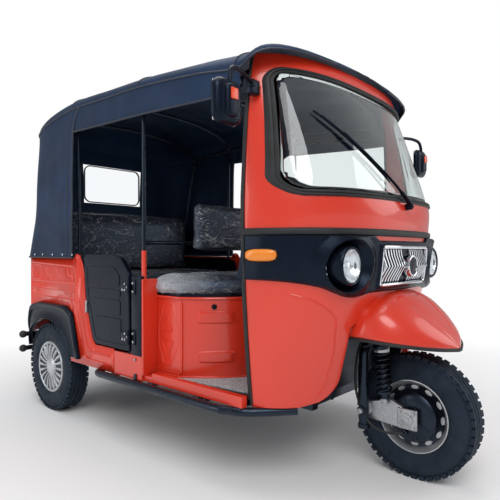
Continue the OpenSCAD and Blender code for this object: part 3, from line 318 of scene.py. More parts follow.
class RICKSHAW_OT_make_materials(bpy.types.Operator):
    """Make the procedural finish of each surface"""
    bl_idname = "rickshaw.make_materials"
    bl_label = "Finishes"

    def execute(self, context):
        # Sprayed orange enamel with a clear coat: fine orange peel about 2 mm across, soft tone change
        cfg = context.scene.rickshaw
        t, b = start("orange_enamel", cfg.paint, 0.3, Coat_Weight=0.5, Coat_Roughness=0.06)
        grain(t, b, 450, 0.00005)
        tint(t, b, cloud(t, 2.0), shade(cfg.paint, 0.94), shade(cfg.paint, 1.05))
        rough_range(t, b, cloud(t, 5.0), 0.28, 0.33)
        # Black enamel on steel tube and pressed steel: smooth, faint dust
        t, b = start("black_enamel", "#070A11", 0.3, Coat_Weight=0.1, Coat_Roughness=0.1, Specular_Tint=PAINTED_SKY_REFLECTION_TINT)
        grain(t, b, 500, 0.00004)
        tint(t, b, cloud(t, 12.0), "#05070C", "#0B0F17")
        rough_range(t, b, cloud(t, 20.0), 0.24, 0.42)
        # Moulded black plastic: spark-eroded grain drawn 1 mm coarse so that it shows
        t, b = start("black_moulding", cfg.moulding, 0.28, Specular_IOR_Level=0.25, Specular_Tint=PAINTED_SKY_REFLECTION_TINT)
        grain(t, b, 900, 0.00012, detail=2)
        tint(t, b, cloud(t, 8.0), shade(cfg.moulding, 0.7), shade(cfg.moulding, 1.4))
        rough_range(t, b, cloud(t, 30.0), 0.26, 0.36)
        # Extruded black rubber: dull, slightly greyed
        t, b = start("black_rubber", "#111214", 0.6)
        grain(t, b, 700, 0.0001)
        tint(t, b, cloud(t, 15.0), "#0C0D0F", "#1B1C1F")
        # Tyre rubber: matt with a fine moulded grain and dust in it
        t, b = start("tyre_rubber", "#15191F", 0.72, Specular_Tint=PAINTED_SKY_REFLECTION_TINT)
        grain(t, b, 500, 0.0002)
        tint(t, b, cloud(t, 14.0, 5), "#0F1319", "#20262E")
        rough_range(t, b, cloud(t, 30.0), 0.62, 0.8)
        # Coated cloth of the canopy: thread pattern drawn 3 mm wide so that it shows, and soft pulls
        t, b = start("coated_canvas", cfg.canvas, 0.55, Sheen_Weight=0.03, Specular_IOR_Level=0.3, Specular_Tint=PAINTED_SKY_REFLECTION_TINT)
        tc = add(t, "ShaderNodeTexCoord")
        first = None
        for direction in ("X", "Z", "Y"):
            wave = add(t, "ShaderNodeTexWave", {"Vector": tc.outputs["Object"], "Scale": 105.0, "Distortion": 0.3},
                       bands_direction=direction)
            links = {"Height": wave.outputs["Fac"], "Distance": 0.00012, "Strength": 0.6}
            if first is not None:
                links["Normal"] = first
            first = add(t, "ShaderNodeBump", links).outputs[0]
        grain(t, b, 5.0, 0.004, detail=4, strength=0.5, prev=first)
        tint(t, b, cloud(t, 4.0, 5), shade(cfg.canvas, 0.75), shade(cfg.canvas, 1.5))
        rough_range(t, b, cloud(t, 7.0), 0.5, 0.64)
        # Webbing and piping of the canopy: same cloth, folded double
        t, b = start("canvas_piping", shade(cfg.canvas, 0.6), 0.5, Sheen_Weight=0.05)
        grain(t, b, 300, 0.0002)
        tint(t, b, cloud(t, 20.0), shade(cfg.canvas, 0.45), shade(cfg.canvas, 0.8))
        # Pressed dark leathercloth of the seats: embossed cells 14 mm wide, with painted shade and highlight that
        # follow them
        t, b = start("embossed_leathercloth", cfg.vinyl, 0.4, Specular_Tint=PAINTED_SKY_REFLECTION_TINT)
        tc = add(t, "ShaderNodeTexCoord")
        cells = add(t, "ShaderNodeTexVoronoi", {"Vector": tc.outputs["Object"], "Scale": 60.0}, feature="SMOOTH_F1")
        press = add(t, "ShaderNodeBump", {"Height": cells.outputs["Distance"], "Distance": 0.003, "Strength": 0.7})
        grain(t, b, 900, 0.00015, prev=press.outputs[0])
        # Painted shade and highlight: the colour is darker in the hollows of the cells and lighter on their raised rims
        tint(t, b, cells.outputs["Distance"], shade(cfg.vinyl, 0.7), shade(cfg.vinyl, 1.7), 0.1, 0.6)
        # Clear protective film over new seats: long creases 30 to 90 mm apart, drawn as bumps, with painted highlights
        # along them where the white film is made more opaque
        t, b = start("clear_film", "#E6ECF2", 0.16, Specular_IOR_Level=0.8)
        tc = add(t, "ShaderNodeTexCoord")
        lie = add(t, "ShaderNodeMapping", {"Vector": tc.outputs["Object"], "Rotation": (0.3, 0.2, 0.5), "Scale": (1.0, 0.4, 1.0)})
        folds = []
        for scale, width in ((8.0, 0.025), (21.0, 0.035)):
            nz = add(t, "ShaderNodeTexNoise", {"Vector": lie.outputs[0], "Scale": scale, "Detail": 4.0, "Distortion": 1.1})
            off = add(t, "ShaderNodeMath", {0: nz.outputs["Fac"], 1: 0.5}, operation="SUBTRACT")
            off = add(t, "ShaderNodeMath", {0: off.outputs[0]}, operation="ABSOLUTE")
            line = add(t, "ShaderNodeMapRange", {"Value": off.outputs[0], "From Min": 0.0, "From Max": width,
                                                 "To Min": 1.0, "To Max": 0.0})
            folds.append(add(t, "ShaderNodeMath", {0: line.outputs[0], 1: 2.5}, operation="POWER").outputs[0])
        both = add(t, "ShaderNodeMath", {0: folds[0], 1: folds[1]}, operation="MAXIMUM")
        crease = add(t, "ShaderNodeBump", {"Height": both.outputs[0], "Distance": 0.006, "Strength": 0.9})
        t.links.new(crease.outputs[0], b.inputs["Normal"])
        # Painted glare on the film by the driver's door: whiter and more opaque near one point, fading to faint 300 mm
        # away
        away = add(t, "ShaderNodeVectorMath", {0: tc.outputs["Object"], 1: (0.03, -0.52, 0.82)}, operation="DISTANCE")
        painted_glare = add(t, "ShaderNodeMapRange", {"Value": away.outputs["Value"], "From Min": 0.08, "From Max": 0.3,
                                              "To Min": 0.5, "To Max": 0.03})
        # Painted highlights: the film's opacity rises along its creases and at the painted glare by the door
        painted_highlight_alpha = add(t, "ShaderNodeMath", {0: both.outputs[0], 1: 0.42, 2: painted_glare.outputs[0]}, operation="MULTIPLY_ADD",
                   use_clamp=True)
        t.links.new(painted_highlight_alpha.outputs[0], b.inputs["Alpha"])
        # Laminated windscreen glass, faintly tinted
        t, b = start("windscreen_glass", "#E4ECEC", 0.0, Transmission_Weight=1.0, IOR=1.5)
        # Clear window film of the rear curtain: slightly hazy and wavy
        t, b = start("window_film", "#F6F9FB", 0.0, Transmission_Weight=1.0, IOR=1.05)
        grain(t, b, 12, 0.0004)
        # Chromed plastic
        t, b = start("chromed_plastic", "#D5D8DC", 0.12, 1.0)
        grain(t, b, 200, 0.00002)
        rough_range(t, b, cloud(t, 30.0), 0.08, 0.18)
        # Silver wheel enamel: metallic flake under lacquer
        t, b = start("silver_enamel", "#B4B7BB", 0.34, 0.65)
        grain(t, b, 900, 0.00003)
        tint(t, b, cloud(t, 12.0, 4), "#A3A6AA", "#C2C5C8")
        # Zinc plated forging: slightly mottled
        t, b = start("zinc_plate", "#A9ABAE", 0.38, 0.9)
        grain(t, b, 350, 0.00015)
        tint(t, b, cloud(t, 90.0, 3), "#9A9DA1", "#B4B6B9")
        rough_range(t, b, cloud(t, 60.0), 0.34, 0.42)
        # Ribbed amber and red lens acrylic
        for name, colour in (("amber_acrylic", "#E8820C"), ("red_acrylic", "#A30F0D"), ("orange_reflector", "#E2451C")):
            t, b = start(name, colour, 0.12, Coat_Weight=0.6)
            tc = add(t, "ShaderNodeTexCoord")
            rib = add(t, "ShaderNodeTexWave", {"Vector": tc.outputs["Object"], "Scale": 60.0}, bands_direction="DIAGONAL")
            bump = add(t, "ShaderNodeBump", {"Height": rib.outputs["Fac"], "Distance": 0.0008, "Strength": 0.7})
            t.links.new(bump.outputs[0], b.inputs["Normal"])
        # Speckled vinyl floor mat: grey with light and dark chips 4 mm across
        t, b = start("speckled_vinyl", "#8A8B8C", 0.6)
        grain(t, b, 400, 0.0002)
        tc = add(t, "ShaderNodeTexCoord")
        chips = add(t, "ShaderNodeTexVoronoi", {"Vector": tc.outputs["Object"], "Scale": 230.0})
        ramp = add(t, "ShaderNodeValToRGB", {"Fac": chips.outputs["Color"]})
        ramp.color_ramp.interpolation = "CONSTANT"
        for place, colour in ((0.0, "#7C7E80"), (0.35, "#A6A8AA"), (0.75, "#C8CACB")):
            e = ramp.color_ramp.elements[0] if place == 0 else ramp.color_ramp.elements.new(place)
            e.position, e.color = place, linear(colour)
        t.links.new(ramp.outputs[0], b.inputs["Base Color"])
        # Bright reflector bowl and clear lens of the headlamps
        t, b = start("reflector", "#E9EBEE", 0.2, 0.6)
        grain(t, b, 60, 0.002)
        t, b = start("lamp_lens", "#F2F5F7", 0.02, Transmission_Weight=1.0, IOR=1.12)
        grain(t, b, 90, 0.0006)
        # Galvanised and cast pieces under the floor
        t, b = start("grey_casting", "#6E7175", 0.5, 0.7)
        grain(t, b, 300, 0.0004)
        tint(t, b, cloud(t, 25.0, 4), "#55585C", "#83868A")
        # White floor
        t, b = start("pale_floor", "#F2F2F2", 0.7)
        return {"FINISHED"}


# ---------------------------------------------------------------- cab form
CAB = [(345, 445, 612), (480, 483, 622), (620, 517, 632), (800, 556, 643), (930, 576, 648), (1056, 584, 650),
       (1200, 586, 650), (1460, 497, 640), (1723, 391, 628), (1790, 366, 618)]
PLAN_X, PLAN_N, CAB_REAR = 1450.0, 2.8, 1645.0


def cab_size(z, out):
    return hermite(CAB, z, 1) + out, hermite(CAB, z, 2) + out


def cab_point(a, z, out=0.0):
    length, width = cab_size(z, out)
    s, c = math.sin(a), max(math.cos(a), 0.0)
    return at(PLAN_X + length * c ** (2 / PLAN_N), width * math.copysign(abs(s) ** (2 / PLAN_N), s), z)


def cab_angle(y, z, out=0.0):
    width = cab_size(z, out)[1]
    return math.copysign(math.asin(min(abs(y) / width, 1.0) ** (PLAN_N / 2)), y)


def cab_limit(z, out=0.0):
    return math.acos(((CAB_REAR - PLAN_X) / cab_size(z, out)[0]) ** (PLAN_N / 2))


def cab_front(y, z, out=0.0):
    return cab_point(cab_angle(y, z, out), z, out)


def cab_row(z, n, out=0.0, a0=None, a1=None):
    """n + 1 evenly spaced points along the cab at one height."""
    lim = cab_limit(z, out)
    a0, a1 = (-lim if a0 is None else a0), (lim if a1 is None else a1)
    return resample([cab_point(a0 + (a1 - a0) * i / 240, z, out) for i in range(241)], n)


def heights(z0, z1, n):
    return [z0 + (z1 - z0) * i / n for i in range(n + 1)]


def round_outline(corners, radii, n=10):
    """Closed outline with rounded corners."""
    out = []
    m = len(corners)
    for i, (p, r) in enumerate(zip(corners, radii)):
        p = Vector(p)
        u = (Vector(corners[i - 1]) - p).normalized()
        v = (Vector(corners[(i + 1) % m]) - p).normalized()
        half = math.acos(max(-1, min(1, u.dot(v)))) / 2
        t = r / math.tan(half)
        a, b, c = p + u * t, p + v * t, p + (u + v).normalized() * r / math.sin(half)
        for k in range(n + 1):
            q = (a.lerp(b, k / n) - c).normalized() * r + c
            out.append(q)
    return out


def screen(out):
    return round_outline([(-615 - out, 1198 - out), (615 + out, 1198 - out), (568 + out, 1723 + out),
                          (-568 - out, 1723 + out)], [74 + out, 74 + out, 68 + out, 68 + out])


# ---------------------------------------------------------------- pieces
CARRIED = {
    "chassis_rails": "black_enamel", "cross_members": "black_enamel", "rear_axle": "grey_casting", "leaf_springs": "black_enamel",
    "floor_pan": "black_moulding", "wheelhouses": "black_enamel", "quarter_panels": "orange_enamel",
    "tail_panel": "orange_enamel", "tail_lamps": "red_acrylic", "arch_flares": "black_rubber",
    "sill_panels": "orange_enamel", "door_posts": "orange_enamel", "door_seals": "black_rubber",
    "floor_mat": "speckled_vinyl", "wheel_well": "black_moulding", "dashboard": "black_moulding",
    "seat_box": "black_moulding", "battery_pack": "black_moulding", "bench_base": "black_moulding",
    "seat_lid": "black_moulding", "rubber_buffers": "black_rubber", "rear_bumper": "black_enamel",
    "mirrors": "black_moulding", "handlebar": "black_enamel",
    "wiper": "black_moulding", "brake_plate": "black_enamel", "canopy_frame": "black_enamel",
    "left_curtain": "coated_canvas", "rear_window": "window_film",
}


class RICKSHAW_OT_carry_over(bpy.types.Operator):
    """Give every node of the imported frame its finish"""
    bl_idname = "rickshaw.carry_over"
    bl_label = "Solids kept"

    def execute(self, context):
        for name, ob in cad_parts.items():
            ob.data.materials.clear()
            ob.data.materials.append(MATERIALS[CARRIED.get(name, "black_moulding")])
        return {"FINISHED"}


def lamp_room(p):
    """True where the cowl is open behind the mask for the lamps and the grille."""
    y, z = p.y * 1000, p.z * 1000
    return math.hypot(abs(y) - 393, z - 922) < 98 or (abs(y) < 236 and 822 < z < 1010)


class RICKSHAW_OT_cab_shell(bpy.types.Operator):
    """Cowl, screen surround and belt strip"""
    bl_idname = "rickshaw.cab_shell"
    bl_label = "Cab shell"

    def execute(self, context):
        bm = bmesh.new()
        lim = 300

        def opening(z):
            """Half width of the wheel opening, its lower corners rounded outwards."""
            k = min(max((455 - z) / 110, 0), 1)
            return 322 + 150 * (1 - math.sqrt(1 - k * k)) if z < 679 else lim

        rows_low, rows_high = heights(345, 680, 24), heights(680, 1056, 28)

        def patch(rows, y0, y1, n):
            rings = []
            for z in rows:
                a = cab_limit(z)
                a0 = -a if y0 is None else cab_angle(math.copysign(opening(z), y0), z)
                a1 = a if y1 is None else cab_angle(math.copysign(opening(z), y1), z)
                rings.append(cab_row(z, n, 0, a0, a1))
            bridge(bm, rings, closed=False)

        for rows in (rows_low, rows_high):
            patch(rows, None, -lim, 40)
            patch(rows, lim, None, 40)
        patch(rows_high, -lim, lim, 32)
        inner = [f for f in bm.faces if lamp_room(f.calc_center_median())]
        bmesh.ops.delete(bm, geom=inner, context="FACES")
        finish_piece("Cowl shell", bm, MATERIALS["orange_enamel"], BODY, ["cab_cowl"],
                     solid=0.028, bevel=0.003, crease=40)

        bm = bmesh.new()
        for side in (-1, 1):
            line = [(560, 812), (505, 790), (454, 757), (412, 724), (399, 690), (394, 640), (386, 580), (387, 500), (396, 424),
                    (420, 385), (462, 360), (500, 352)]
            tube(bm, smooth_path([cab_front(side * y, z, -1) for y, z in line], 6), 0.0045, 8)
        finish_piece("Cowl pressings", bm, MATERIALS["orange_enamel"], BODY)

        bm = bmesh.new()
        n = 30

        def quadrant(points):
            """Outline split at its four corner points, each side cut into n runs."""
            m = len(points) // 4
            marks = [m // 2 + m * k for k in range(4)]
            out = []
            for k in range(4):
                a, b = marks[k], marks[(k + 1) % 4]
                run = points[a:b + 1] if b > a else points[a:] + points[:b + 1]
                out += resample(run, n)[:-1]
            return out

        inner = quadrant([Vector((p[0], p[1], 0)) for p in screen(-14)])
        inner = [(cab_angle(p.x, p.y) / cab_limit(p.y), p.y) for p in inner]
        corners = [(-1, 1056), (1, 1056), (1, 1790), (-1, 1790)]
        outer = []
        for k in range(4):
            (s0, z0), (s1, z1) = corners[k], corners[(k + 1) % 4]
            outer += [(s0 + (s1 - s0) * i / n, z0 + (z1 - z0) * i / n) for i in range(n)]
        rings = []
        for k in range(11):
            t = k / 10
            rings.append([cab_point((a[0] + (b[0] - a[0]) * t) * cab_limit(a[1] + (b[1] - a[1]) * t),
                                    a[1] + (b[1] - a[1]) * t) for a, b in zip(inner, outer)])
        bridge(bm, rings)
        finish_piece("Screen surround", bm, MATERIALS["orange_enamel"], BODY, ["cab_upper"],
                     solid=0.028, bevel=0.003, crease=40)

        bm = bmesh.new()
        rows = [(1041, 0), (1043, 6), (1047, 9), (1056, 10), (1065, 9), (1069, 6), (1071, 0)]
        bridge(bm, [cab_row(z, 140, out) for z, out in rows], closed=False)
        for side in (-1, 1):
            tube(bm, [cab_point(side * cab_limit(z), z, 1) for z in heights(352, 1786, 60)], 0.0065, 10)
        finish_piece("Belt strip", bm, MATERIALS["black_rubber"], BODY, ["belt_trim"], crease=60)
        return {"FINISHED"}


class RICKSHAW_OT_windscreen(bpy.types.Operator):
    """Glass and its rubber gasket"""
    bl_idname = "rickshaw.windscreen"
    bl_label = "Windscreen"

    def execute(self, context):
        bm = bmesh.new()
        profile = [(5, -1), (3, 5), (-2, 8), (-6, 7), (-8, 4), (-10, 7), (-15, 8), (-19, 5), (-21, -2), (-21, -10)]
        bridge(bm, [[cab_front(y, z, lift) for y, z in resample2(screen(off), 240)] for off, lift in profile])
        finish_piece("Screen gasket", bm, MATERIALS["black_rubber"], BODY, ["windshield_gasket"], crease=50)
        bm = bmesh.new()
        rings = []
        for k in range(13):
            t = 0.965 * k / 12
            rings.append([cab_front(y + (0 - y) * t, z + (1460 - z) * t, -8) for y, z in resample2(screen(-18), 120)])
        loops = bridge(bm, rings)
        bmesh.ops.holes_fill(bm, edges=loops[-1], sides=0)
        finish_piece("Screen glass", bm, MATERIALS["windscreen_glass"], BODY, ["windshield_glass"], solid=0.005)
        return {"FINISHED"}


def resample2(points, n):
    return [(p.x, p.y) for p in resample([Vector((a[0], a[1], 0)) for a in points], n, closed=True)]


LAMP_Y, LAMP_Z = 393.0, 922.0


def mask_top(y):
    return 1024 + 21 * min(max((abs(y) - 228) / 34, 0), 1)


def mask_low(y):
    return hermite([(0, 806), (250, 806), (330, 792), (380, 796), (430, 814), (480, 836), (540, 852), (600, 863), (655, 868)],
                   abs(y), 1)


def mask_lift(y, z):
    """How far the mask stands off the cowl."""
    d = math.hypot(abs(y) - LAMP_Y, z - LAMP_Z)
    rim = 14 + 16 * max(0.0, 1 - abs(d - 106) / 36)
    bowl = min(max((d - 78) / 26, 0), 1)
    lift = rim * bowl + (1 - bowl) * -14
    if abs(y) < 235 and 822 < z < 1010:
        edge = min(235 - abs(y), z - 822, 1010 - z)
        lift = 14 + 10 * min(edge / 8, 1) - 26 * min(max((edge - 10) / 8, 0), 1)
    return lift


class RICKSHAW_OT_nose(bpy.types.Operator):
    """Black mask with headlamps, grille and blank badge"""
    bl_idname = "rickshaw.nose"
    bl_label = "Nose mask"

    def execute(self, context):
        bm = bmesh.new()
        ys = [-640 + 1280 * i / 256 for i in range(257)]
        rings = []
        for k in range(53):
            t = k / 52
            ring = []
            for y in ys:
                z0, z1 = mask_low(y), mask_top(y)
                z = z0 + (z1 - z0) * t
                edge = min(z - z0, z1 - z, 640 - abs(y))
                lift = mask_lift(y, z) * min(edge / 7, 1) ** 0.5
                ring.append(cab_front(y, z, lift))
            rings.append(ring)
        bridge(bm, rings, closed=False)
        holes = [f for f in bm.faces if math.hypot(abs((c := f.calc_center_median()).y * 1000) - LAMP_Y,
                                                   c.z * 1000 - LAMP_Z) < 70]
        bmesh.ops.delete(bm, geom=holes, context="FACES")
        finish_piece("Nose mask", bm, MATERIALS["black_moulding"], BODY, ["nose_mask"], crease=38)

        bowls, glass, rims = bmesh.new(), bmesh.new(), bmesh.new()
        for side in (-1, 1):
            c = (1990, side * LAMP_Y, LAMP_Z)
            lathe(bowls, [(2, -48), (20, -44), (44, -26), (60, -4), (66, 6)], c, (1, 0, 0))
            block(bowls, (1972, side * LAMP_Y - 64, LAMP_Z - 4), (1978, side * LAMP_Y + 64, LAMP_Z + 4), 1.5)
            disc(bowls, (1966, side * LAMP_Y, LAMP_Z), (1, 0, 0), 15, 36, 4)
            lathe(glass, [(0.5, 17), (24, 16), (46, 13), (60, 9), (67, 6)], c, (1, 0, 0))
            lathe(rims, [(66, -60), (66, 2), (68, 9), (73, 11), (78, 7), (81, -2), (82, -60)], c, (1, 0, 0))
        finish_piece("Headlamp bowls", bowls, MATERIALS["reflector"], BODY, ["headlamps"])
        finish_piece("Headlamp rings", rims, MATERIALS["black_moulding"], BODY)
        finish_piece("Headlamp lenses", glass, MATERIALS["lamp_lens"], BODY, solid=0.003)

        bm = bmesh.new()
        frame_rows = [(0, 2), (2, 12), (8, 15), (14, 12), (16, 2)]
        box = [(-228, 828), (228, 828), (228, 1004), (-228, 1004)]
        rings = []
        for inset, lift in frame_rows:
            c = [(x - math.copysign(inset, x), z + (inset if z < 900 else -inset)) for x, z in box]
            ring = resample2(round_outline(c, [26 - inset * 0.7] * 4, 6), 200)
            rings.append([cab_front(y, z, lift + 10) for y, z in ring])
        bridge(bm, rings)
        for i in range(-9, 10):
            if abs(i) < 2:
                continue
            y = i * 22.6
            rib = []
            for z, out in ((842, 6), (866, 12), (914, 34), (962, 12), (990, 6)):
                rib.append((z, out))
            rings = []
            for z, out in rib:
                rings.append([cab_front(y + w, z, out - d if d < 9 else 2) for w, d in
                              ((-5, 9), (-4.6, 2.5), (-2.6, 0.4), (0, 0), (2.6, 0.4), (4.6, 2.5), (5, 9))])
            bridge(bm, rings, closed=False)
        finish_piece("Grille", bm, MATERIALS["chromed_plastic"], BODY, ["grille"], crease=30)
        bm = bmesh.new()
        lathe(bm, [(38, 40), (39, 44), (43, 46), (47, 44), (48, 38), (46, 0)], (2030, 0, 914), (1, 0, 0))
        finish_piece("Badge ring", bm, MATERIALS["chromed_plastic"], BODY)
        bm = bmesh.new()
        lathe(bm, [(0.5, 44), (22, 43.5), (39, 41)], (2030.5, 0, 914), (1, 0, 0))
        finish_piece("Blank badge", bm, MATERIALS["black_moulding"], BODY)
        return {"FINISHED"}


FENDER = [(1925, 300, 618, 800), (2000, 300, 617, 806), (2065, 290, 612, 788), (2130, 256, 604, 738),
          (2195, 190, 592, 676), (2245, 104, 580, 624), (2274, 12, 570, 580)]


class RICKSHAW_OT_mudguard(bpy.types.Operator):
    """Pointed mudguard over the front wheel with its edging"""
    bl_idname = "rickshaw.mudguard"
    bl_label = "Front mudguard"

    def execute(self, context):
        section = [(1.0, 0.0), (0.995, 0.1), (0.975, 0.3), (0.94, 0.48), (0.90, 0.60), (0.80, 0.735), (0.66, 0.85),
                   (0.50, 0.93), (0.36, 0.975), (0.33, 0.955), (0.29, 0.975), (0.10, 1.0)]
        section = [(-a, b) for a, b in section] + [(a, b) for a, b in reversed(section)]
        rings, edge = [], []
        n = 44
        for i in range(n + 1):
            x = 1925 + 349 * math.sin(math.pi / 2 * i / n)
            hw, z0, z1 = (hermite(FENDER, x, c) for c in (1, 2, 3))
            rings.append([at(x, -hw * a, z0 + (z1 - z0) * b) for a, b in section])
            edge.append((x, hw, z0))
        bm = bmesh.new()
        bridge(bm, rings, closed=False)
        finish_piece("Front mudguard", bm, MATERIALS["orange_enamel"], BODY, ["front_fender"],
                     solid=0.004, crease=24)
        bm = bmesh.new()
        path = [at(x, -hw, z) for x, hw, z in edge] + [at(x, hw, z) for x, hw, z in reversed(edge)]
        tube(bm, path, 0.0075, 10)
        finish_piece("Mudguard edging", bm, MATERIALS["black_rubber"], BODY)
        return {"FINISHED"}


ROOF = [(-300, 448, 1690, 1702, 1722), (-276, 528, 1698, 1710, 1780), (-205, 600, 1710, 1722, 1845),
        (-90, 640, 1724, 1736, 1890), (90, 655, 1750, 1766, 1918), (328, 658, 1775, 1790, 1927),
        (650, 658, 1650, 1784, 1917), (1000, 658, 1641, 1775, 1900), (1400, 658, 1622, 1740, 1876),
        (1640, 654, 1612, 1712, 1858), (1720, 628, 1745, 1762, 1850), (1782, 536, 1764, 1780, 1830),
        (1820, 356, 1777, 1789, 1815), (1838, 132, 1786, 1795, 1806)]
BOWS = [-80, 320, 955, 1610]


def roof_sag(x):
    for a, b in zip(BOWS, BOWS[1:]):
        if a <= x <= b:
            return 7 * math.sin(math.pi * (x - a) / (b - a)) ** 2
    return 0.0


def roof_point(x, t, out=0.0):
    hw, zs, zc = hermite(ROOF, x, 1), hermite(ROOF, x, 3), hermite(ROOF, x, 4)
    z = zs + (zc - zs) * max(1 - abs(t) ** 2.4, 0) ** 0.42
    return x, hw * t, z - roof_sag(x) * (1 - abs(t) ** 3) + out


def valance_low(x):
    return hermite([(330, 1660), (650, 1650), (1000, 1641), (1400, 1622), (1640, 1612)], x, 1)


class RICKSHAW_OT_canopy(bpy.types.Operator):
    """Roof sheet, valances and the sheet behind the doorway"""
    bl_idname = "rickshaw.canopy"
    bl_label = "Canopy"

    def execute(self, context):
        bm = bmesh.new()
        xs = [-300 + (1838 + 300) * i / 150 for i in range(151)]
        ts = [math.sin(math.pi / 2 * (-1 + 2 * j / 64)) for j in range(65)]
        bridge(bm, [[at(*roof_point(x, t, 2.5 * noise.noise(Vector((x / 90, t * 5, 0))) * (1 - t * t))) for t in ts]
                    for x in xs], closed=False)
        roof = finish_piece("Canopy roof", bm, MATERIALS["coated_canvas"], BODY, ["canopy_roof"], crease=50)
        bm = bmesh.new()
        for side in (-1, 1):
            rings = []
            for k in range(13):
                t = k / 12
                ring = []
                for i in range(101):
                    x = 330 + 1314 * i / 100
                    hw, zs = hermite(ROOF, x, 1), hermite(ROOF, x, 3)
                    z = zs + (valance_low(x) - zs) * t
                    wave = 2.2 * math.sin(x / 61.0 + side) * t + 1.6 * math.sin(x / 21.0) * t
                    ring.append(at(x, side * (hw + 1.5 * t + wave), z + 2.5 * math.sin(x / 47.0) * t))
                rings.append(ring)
            bridge(bm, rings, closed=False)
        skirts = finish_piece("Canopy valances", bm, MATERIALS["coated_canvas"], BODY, ["left_curtain"], crease=50)
        bm = bmesh.new()
        for side in (-1, 1):
            tube(bm, [at(x, side * (hermite(ROOF, x, 1) + 1), hermite(ROOF, x, 3)) for x in range(-290, 1841, 20)], 0.005, 8)
            tube(bm, [at(x, side * (hermite(ROOF, x, 1) + 2), valance_low(x)) for x in range(330, 1645, 20)], 0.006, 8)
        for x in BOWS[1:]:
            tube(bm, [at(*roof_point(x, math.sin(math.pi / 2 * (-1 + 2 * j / 48)), 1)) for j in range(49)], 0.004, 8)
        finish_piece("Canopy piping", bm, MATERIALS["canvas_piping"], BODY)

        # Rear and sides behind the doorway
        bm = bmesh.new()
        rows = [(944, -338, 140, 658), (1090, -318, 170, 654), (1200, -302, 190, 651), (1400, -298, 205, 650),
                (1620, -294, 215, 648), (1738, -284, 230, 646)]
        n = 120

        def plan(z):
            x0, r, w = (hermite(rows, z, c) for c in (1, 2, 3))
            front = 316 + 14 * (z - 944) / 846
            pts = [(front, -658)]
            pts += [(x0 + r - r * math.sin(a), -(w - r + r * math.cos(a))) for a in
                    (math.pi / 2 * k / 24 for k in range(25))]
            pts += [(x, -y) for x, y in reversed(pts)]
            return resample([Vector((p[0], p[1], 0)) for p in pts], n)

        roof_edge = [(x, -hermite(ROOF, x, 1), hermite(ROOF, x, 3) - 3) for x in range(410, -299, -6)]
        roof_edge += [roof_point(-300, -math.cos(math.pi * j / 40), -2) for j in range(21)]
        roof_edge += [(x, -y, z) for x, y, z in reversed(roof_edge[:-1])]
        top = resample([Vector(p) for p in roof_edge], n)
        rings = []
        for k in range(49):
            t = k / 48
            flat = plan(944 + 790 * t)
            blend = max(0.0, (t - 0.55) / 0.45) ** 1.5
            ring = []
            for i, (p, q) in enumerate(zip(flat, top)):
                z = 944 + (q.z - 944) * t
                near_hem = max(0.0, 1 - min(i, n - i) / 14)
                x = p.x + (q.x - p.x) * blend ** (1 + 3 * near_hem)
                y = p.y + (q.y - p.y) * blend
                pull = 3.5 * noise.noise(Vector((x / 130 + y / 60, z / 260, 1))) * min(t, 1 - t) * 4
                ring.append(at(x, y + math.copysign(pull, y) if abs(y) > 500 else y, z))
            rings.append(ring)
        rings.append([at(q.x + 8, q.y * 0.985, q.z + 8) for q in top])
        bridge(bm, rings, closed=False)
        hole = [f for f in bm.faces if (c := f.calc_center_median()).x < at(-230, 0, 0).x and abs(c.y) < 0.235
                and 1.338 < c.z < 1.602]
        bmesh.ops.delete(bm, geom=hole, context="FACES")
        rear = finish_piece("Canopy rear", bm, MATERIALS["coated_canvas"], BODY, ["canopy_rear"], crease=50)
        bm = bmesh.new()
        for side in (0, -1):
            tube(bm, [r[side] for r in rings], 0.006, 8)
            inner = 3 if side == 0 else -4
            tube(bm, [r[inner] for r in rings], 0.003, 8)
        tube(bm, rings[0], 0.006, 8)
        win = round_outline([(-232, 1339), (232, 1339), (232, 1601), (-232, 1601)], [46] * 4, 6)
        tube(bm, [at(-302, y, z) for y, z in win], 0.009, 8, closed=True, flat=0.5)
        finish_piece("Canopy hems", bm, MATERIALS["canvas_piping"], BODY)
        return {"FINISHED"}


def inflate(ob, floor_z, voxel=0.011, most=0.024):
    """Cloth simulation: the filling's pressure rounds the cover, its base held, each point moving so far at most."""
    scene = bpy.context.scene
    remesh = ob.modifiers.new("Even", "REMESH")
    remesh.mode, remesh.voxel_size = "VOXEL", voxel
    mesh = bpy.data.meshes.new_from_object(ob.evaluated_get(bpy.context.evaluated_depsgraph_get()))
    ob.modifiers.clear()
    ob.data = mesh
    start_at = [v.co.copy() for v in mesh.vertices]
    held = ob.vertex_groups.new(name="held")
    held.add([v.index for v in mesh.vertices if v.co.z < floor_z + 0.012], 1.0, "REPLACE")
    cloth = ob.modifiers.new("Cover", "CLOTH")
    cover = cloth.settings
    cover.use_pressure, cover.uniform_pressure_force = True, 4.0
    cover.effector_weights.gravity = 0.0
    cover.vertex_group_mass = "held"
    cover.quality = 4
    for number in range(1, 21):
        scene.frame_set(number)
    done = ob.evaluated_get(bpy.context.evaluated_depsgraph_get()).to_mesh()
    moved = [v.co.copy() for v in done.vertices]
    ob.modifiers.clear()
    for v, a, b in zip(mesh.vertices, start_at, moved):
        d = (b - a) * 0.6
        if d.length > most:
            d = d.normalized() * most
        v.co = a + d
    mesh.polygons.foreach_set("use_smooth", [True] * len(mesh.polygons))
    scene.frame_set(1)


